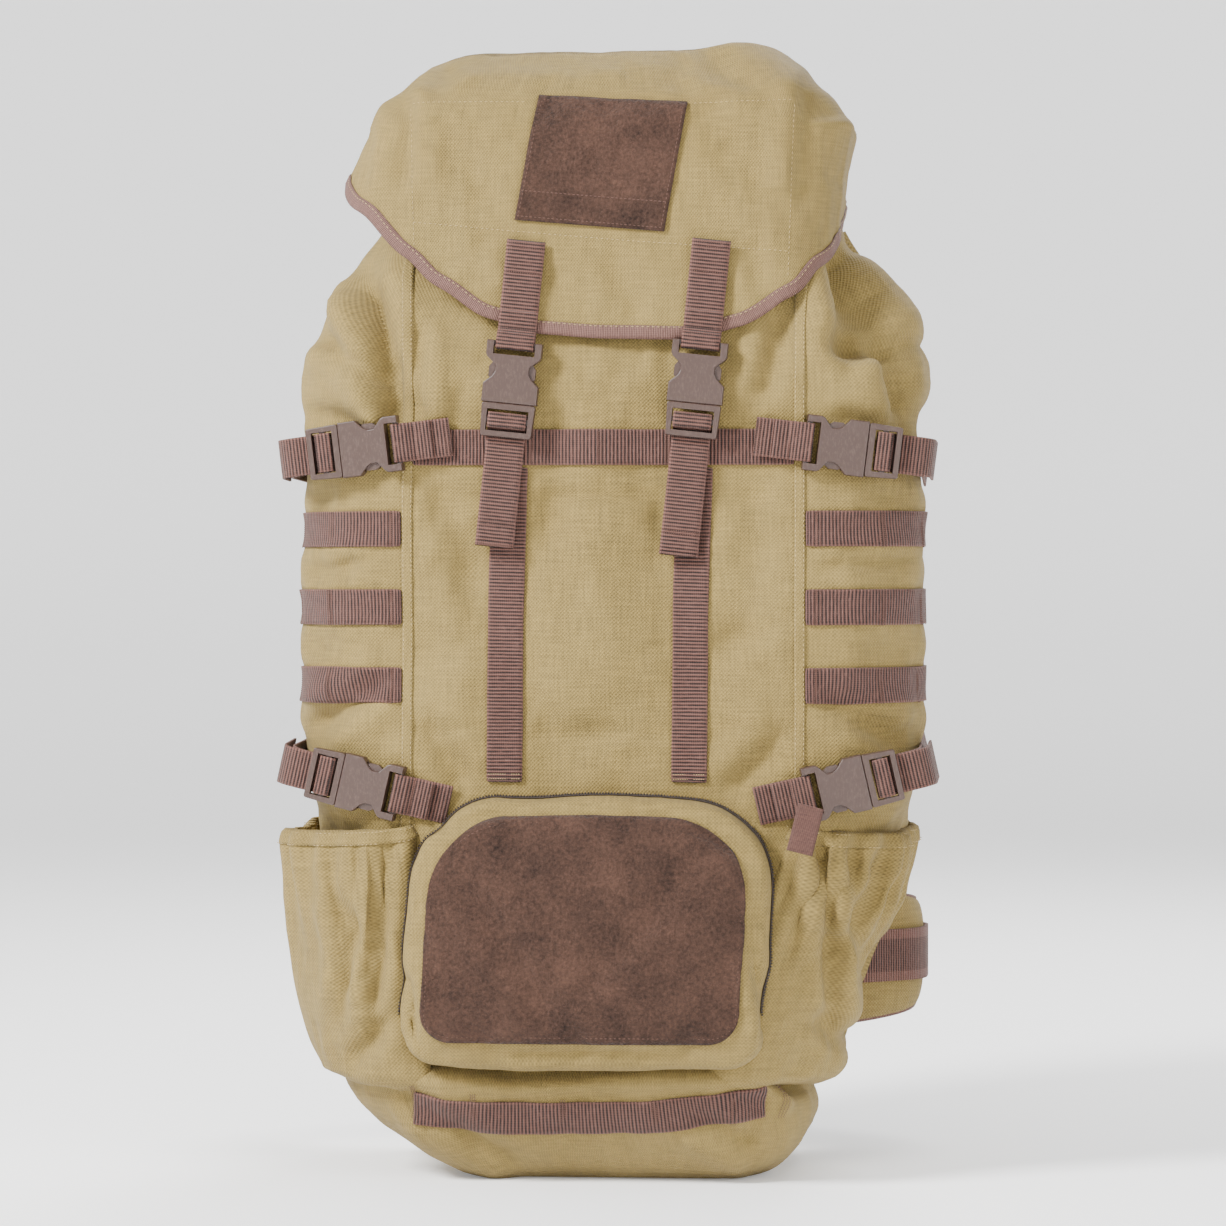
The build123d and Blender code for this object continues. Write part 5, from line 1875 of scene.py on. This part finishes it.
def makeHarness():
    webbings, stitches = [], bmesh.new()
    for way, name in ((-1, "left"), (1, "right")):
        line = [
            Vector((way * x, y, z)) * mm
            for x, y, z in (*shoulder["rise"][:2], (53, 186, 562), *shoulder["fall"][2:])
        ]
        route = roundedRoute(line, [24 * mm, 40 * mm, 80 * mm, 60 * mm])
        piece = padAlong(
            "shoulderStrap" + name.capitalize(), route, Vector((1, 0, 0)), shoulder["width"] * mm,
            shoulder["thick"] * mm, canvas, spacerMesh,
        )
        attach(piece, "pack")
        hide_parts("shoulder_strap_" + name)
        # webbing sewn down the middle of its outside, into the ladder lock
        tail = [Vector((way * x, y, z)) * mm for x, y, z in shoulder["tail"]]
        webbings.append(
            ribbon(
                "tail", evenRoute(roundedRoute(tail, [20 * mm, 60 * mm]), 4 * mm), Vector((1, 0, 0)),
                25 * mm, 1.6 * mm, webbing, 0.5 * mm,
            )
        )
        lifter = [Vector((way * x, y, z)) * mm for x, y, z in shoulder["lifter"]]
        webbings.append(
            ribbon(
                "lifter", evenRoute(roundedRoute(lifter, [3 * mm]), 4 * mm), Vector((1, 0, 0)), 20 * mm,
                1.6 * mm, webbing, 0.3 * mm,
            )
        )
    piece = join(webbings, "harnessWebbing")
    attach(piece, "pack")
    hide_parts("harness_webbing")
    # haul loop
    half = [(-58, 101.4), (-44, 101.6), (-31, 116), (-12, 119)]
    line = [Vector((x, y, 596)) * mm for x, y in half] + [
        Vector((-x, y, 596)) * mm for x, y in reversed(half)
    ]
    haul = ribbon(
        "haulLoop",
        evenRoute(roundedRoute(line, [7 * mm, 9 * mm, 12 * mm, 12 * mm, 9 * mm, 7 * mm]), 3 * mm),
        Vector((0, 0, 1)), 25 * mm, 2.4 * mm, webbing, 0.3 * mm,
    )
    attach(haul, "pack")
    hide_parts("haul_loop")
    back = Vector((0, 1, 0))
    for x in (-55, -53, -47, 47, 53, 55):
        stitchRow(
            stitches, [(Vector((x, 103, 585)) * mm, back), (Vector((x, 103, 607)) * mm, back)], 1.5, 1.2,
            0.6, 0.5,
        )
    keepStitches(stitches, "haulStitches", brownThread)


makeHarness()


def makeBackPad(name, half, low, high, thick, corner, channels):
    # a crowned foam pad with sewn channels
    middleZ, halfZ = (low + high) / 2, (high - low) / 2

    def spotAt(u, v):
        a, b = (u - 0.5) * 2, (v - 0.5) * 2
        # a square turned into a rounded rectangle
        shrinkX = 1 - (corner / half) * 0.3 * b**6 * abs(a)
        shrinkZ = 1 - (corner / halfZ) * 0.3 * a**6 * abs(b)
        x, z = a * half * shrinkX, middleZ + b * halfZ * shrinkZ
        dome = (1 - abs(a) ** 6) * (1 - abs(b) ** 8)
        groove = sum(math.exp(-(((b - line) * halfZ / 3.0) ** 2)) for line in channels)
        y = 100.6 + thick * (0.12 + 0.88 * dome**0.5) - 5.0 * groove * dome
        return Vector((x, y, z)) * mm, (x * mm, z * mm)

    bm = sheetFrom(36, 60, spotAt)
    rim = [edge for edge in bm.edges if edge.is_boundary]
    made = bmesh.ops.extrude_edge_only(bm, edges=rim)
    for vert in [item for item in made["geom"] if isinstance(item, bmesh.types.BMVert)]:
        vert.co.y = 0.1002
    faceOut(bm)
    clothFromPosition(bm)
    return keepMesh(bm, name, spacerMesh)


def makeBackPads():
    pads = []
    for x in (-60, 60):
        pad = makeBackPad("pad", 31, 190, 440, 15.5, 16, (-0.6, -0.2, 0.2, 0.6))
        pad.data.transform(Matrix.Translation((x * mm, 0, 0)))
        pads.append(pad)
    pads.append(makeBackPad("lumbar", 98, 80, 180, 19.0, 24, (0.0,)))
    piece = refine(join(pads, "backPads"))
    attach(piece, "pack")
    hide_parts("back_pads")


makeBackPads()

belt = {
    "path": [(0, 0), (48, 2), (93, 21), (105, 61), (83, 101)], "hinge": (112, 114), "thick": 13.0,
    "turn": 14.0,
}


def makeBelt():
    for way, name in ((-1, "left"), (1, "right")):
        turn = math.radians(belt["turn"]) if way > 0 else 0.0
        spin = Matrix.Rotation(turn, 3, "Z")

        def at(x, y, z):
            spot = Vector((x, y, 0))
            spot = spin @ spot if way > 0 else Vector((-x, y, 0))
            return Vector((spot.x + way * belt["hinge"][0], spot.y + belt["hinge"][1], z)) * mm

        line = [at(x, y, 130) for x, y in belt["path"]]
        route = roundedRoute(line, [40 * mm, 30 * mm, 30 * mm])
        outer, inner = (canvas, spacerMesh) if way > 0 else (spacerMesh, canvas)
        piece = padAlong(
            "beltWing" + name.capitalize(), route, Vector((0, 0, 1)), 94 * mm, belt["thick"] * mm, outer,
            inner, taper=lambda share: 1.0 - 0.32 * ease(0.1, 1.0, share),
        )
        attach(piece, "belt_" + name)
        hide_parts("belt_wing_" + name)


makeBelt()
print("harness made")


def straightMap(material, direction):
    # the same webbing, with its ribs counted along a direction of the frame
    copy = material.copy()
    tree = copy.node_tree
    spot = tree.nodes.new("ShaderNodeTexCoord").outputs["Object"]
    parts = tree.nodes.new("ShaderNodeSeparateXYZ")
    tree.links.new(spot, parts.inputs[0])
    run = calc(
        tree, "ADD", calc(tree, "MULTIPLY", parts.outputs["X"], direction[0]),
        calc(tree, "MULTIPLY", parts.outputs["Y"], direction[1]),
    )
    joined = tree.nodes.new("ShaderNodeCombineXYZ")
    tree.links.new(calc(tree, "ADD", parts.outputs["Z"], direction[2]), joined.inputs["X"])
    tree.links.new(run, joined.inputs["Y"])
    for node in tree.nodes:
        if node.type == "GROUP" and node.node_tree == ribsAndPaintedShadeGroup:
            tree.links.new(joined.outputs[0], node.inputs["Cloth"])
    return copy


def dress(material, *names):
    for name in names:
        node = nodes[name]
        node.data.materials.clear()
        node.data.materials.append(material)


dress(
    plastic, "lid_sockets", "lid_plug_left", "lid_plug_right", "compression_sockets", "upper_plug_left",
    "upper_plug_right", "lower_plug_left", "lower_plug_right", "sternum_socket", "sternum_plug",
    "ladder_locks",
)
dress(blackPlastic, "belt_socket", "belt_plug", "cord_lock", "cord_lock_button", "frame_sheet")
dress(brass, "lid_slider", "pocket_slider")
dress(aluminium, "frame_stays")
beltWebbing = straightMap(webbing, (0.7, 0.9, -0.130))
dress(beltWebbing, "belt_webbing_left", "belt_webbing_right")
dress(straightMap(webbing, (1.0, 0.0, -0.440)), "sternum_strap_left", "sternum_strap_right")


def makeHinge():
    line = [
        Vector((0, y, z)) for y, z in ((102.4, 611), (102.6, 630), (105.5, 640), (107, 651), (108.2, 662))
    ]
    route = evenRoute(roundedRoute([spot * mm for spot in line], [6 * mm, 6 * mm, 6 * mm]), 3 * mm)
    strip = ribbon("lidHingeStrip", route, Vector((1, 0, 0)), 220 * mm, 1.2 * mm, canvas, 0.5 * mm)
    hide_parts("lid_hinge_strip")
    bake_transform(strip)


makeHinge()
print("details made")
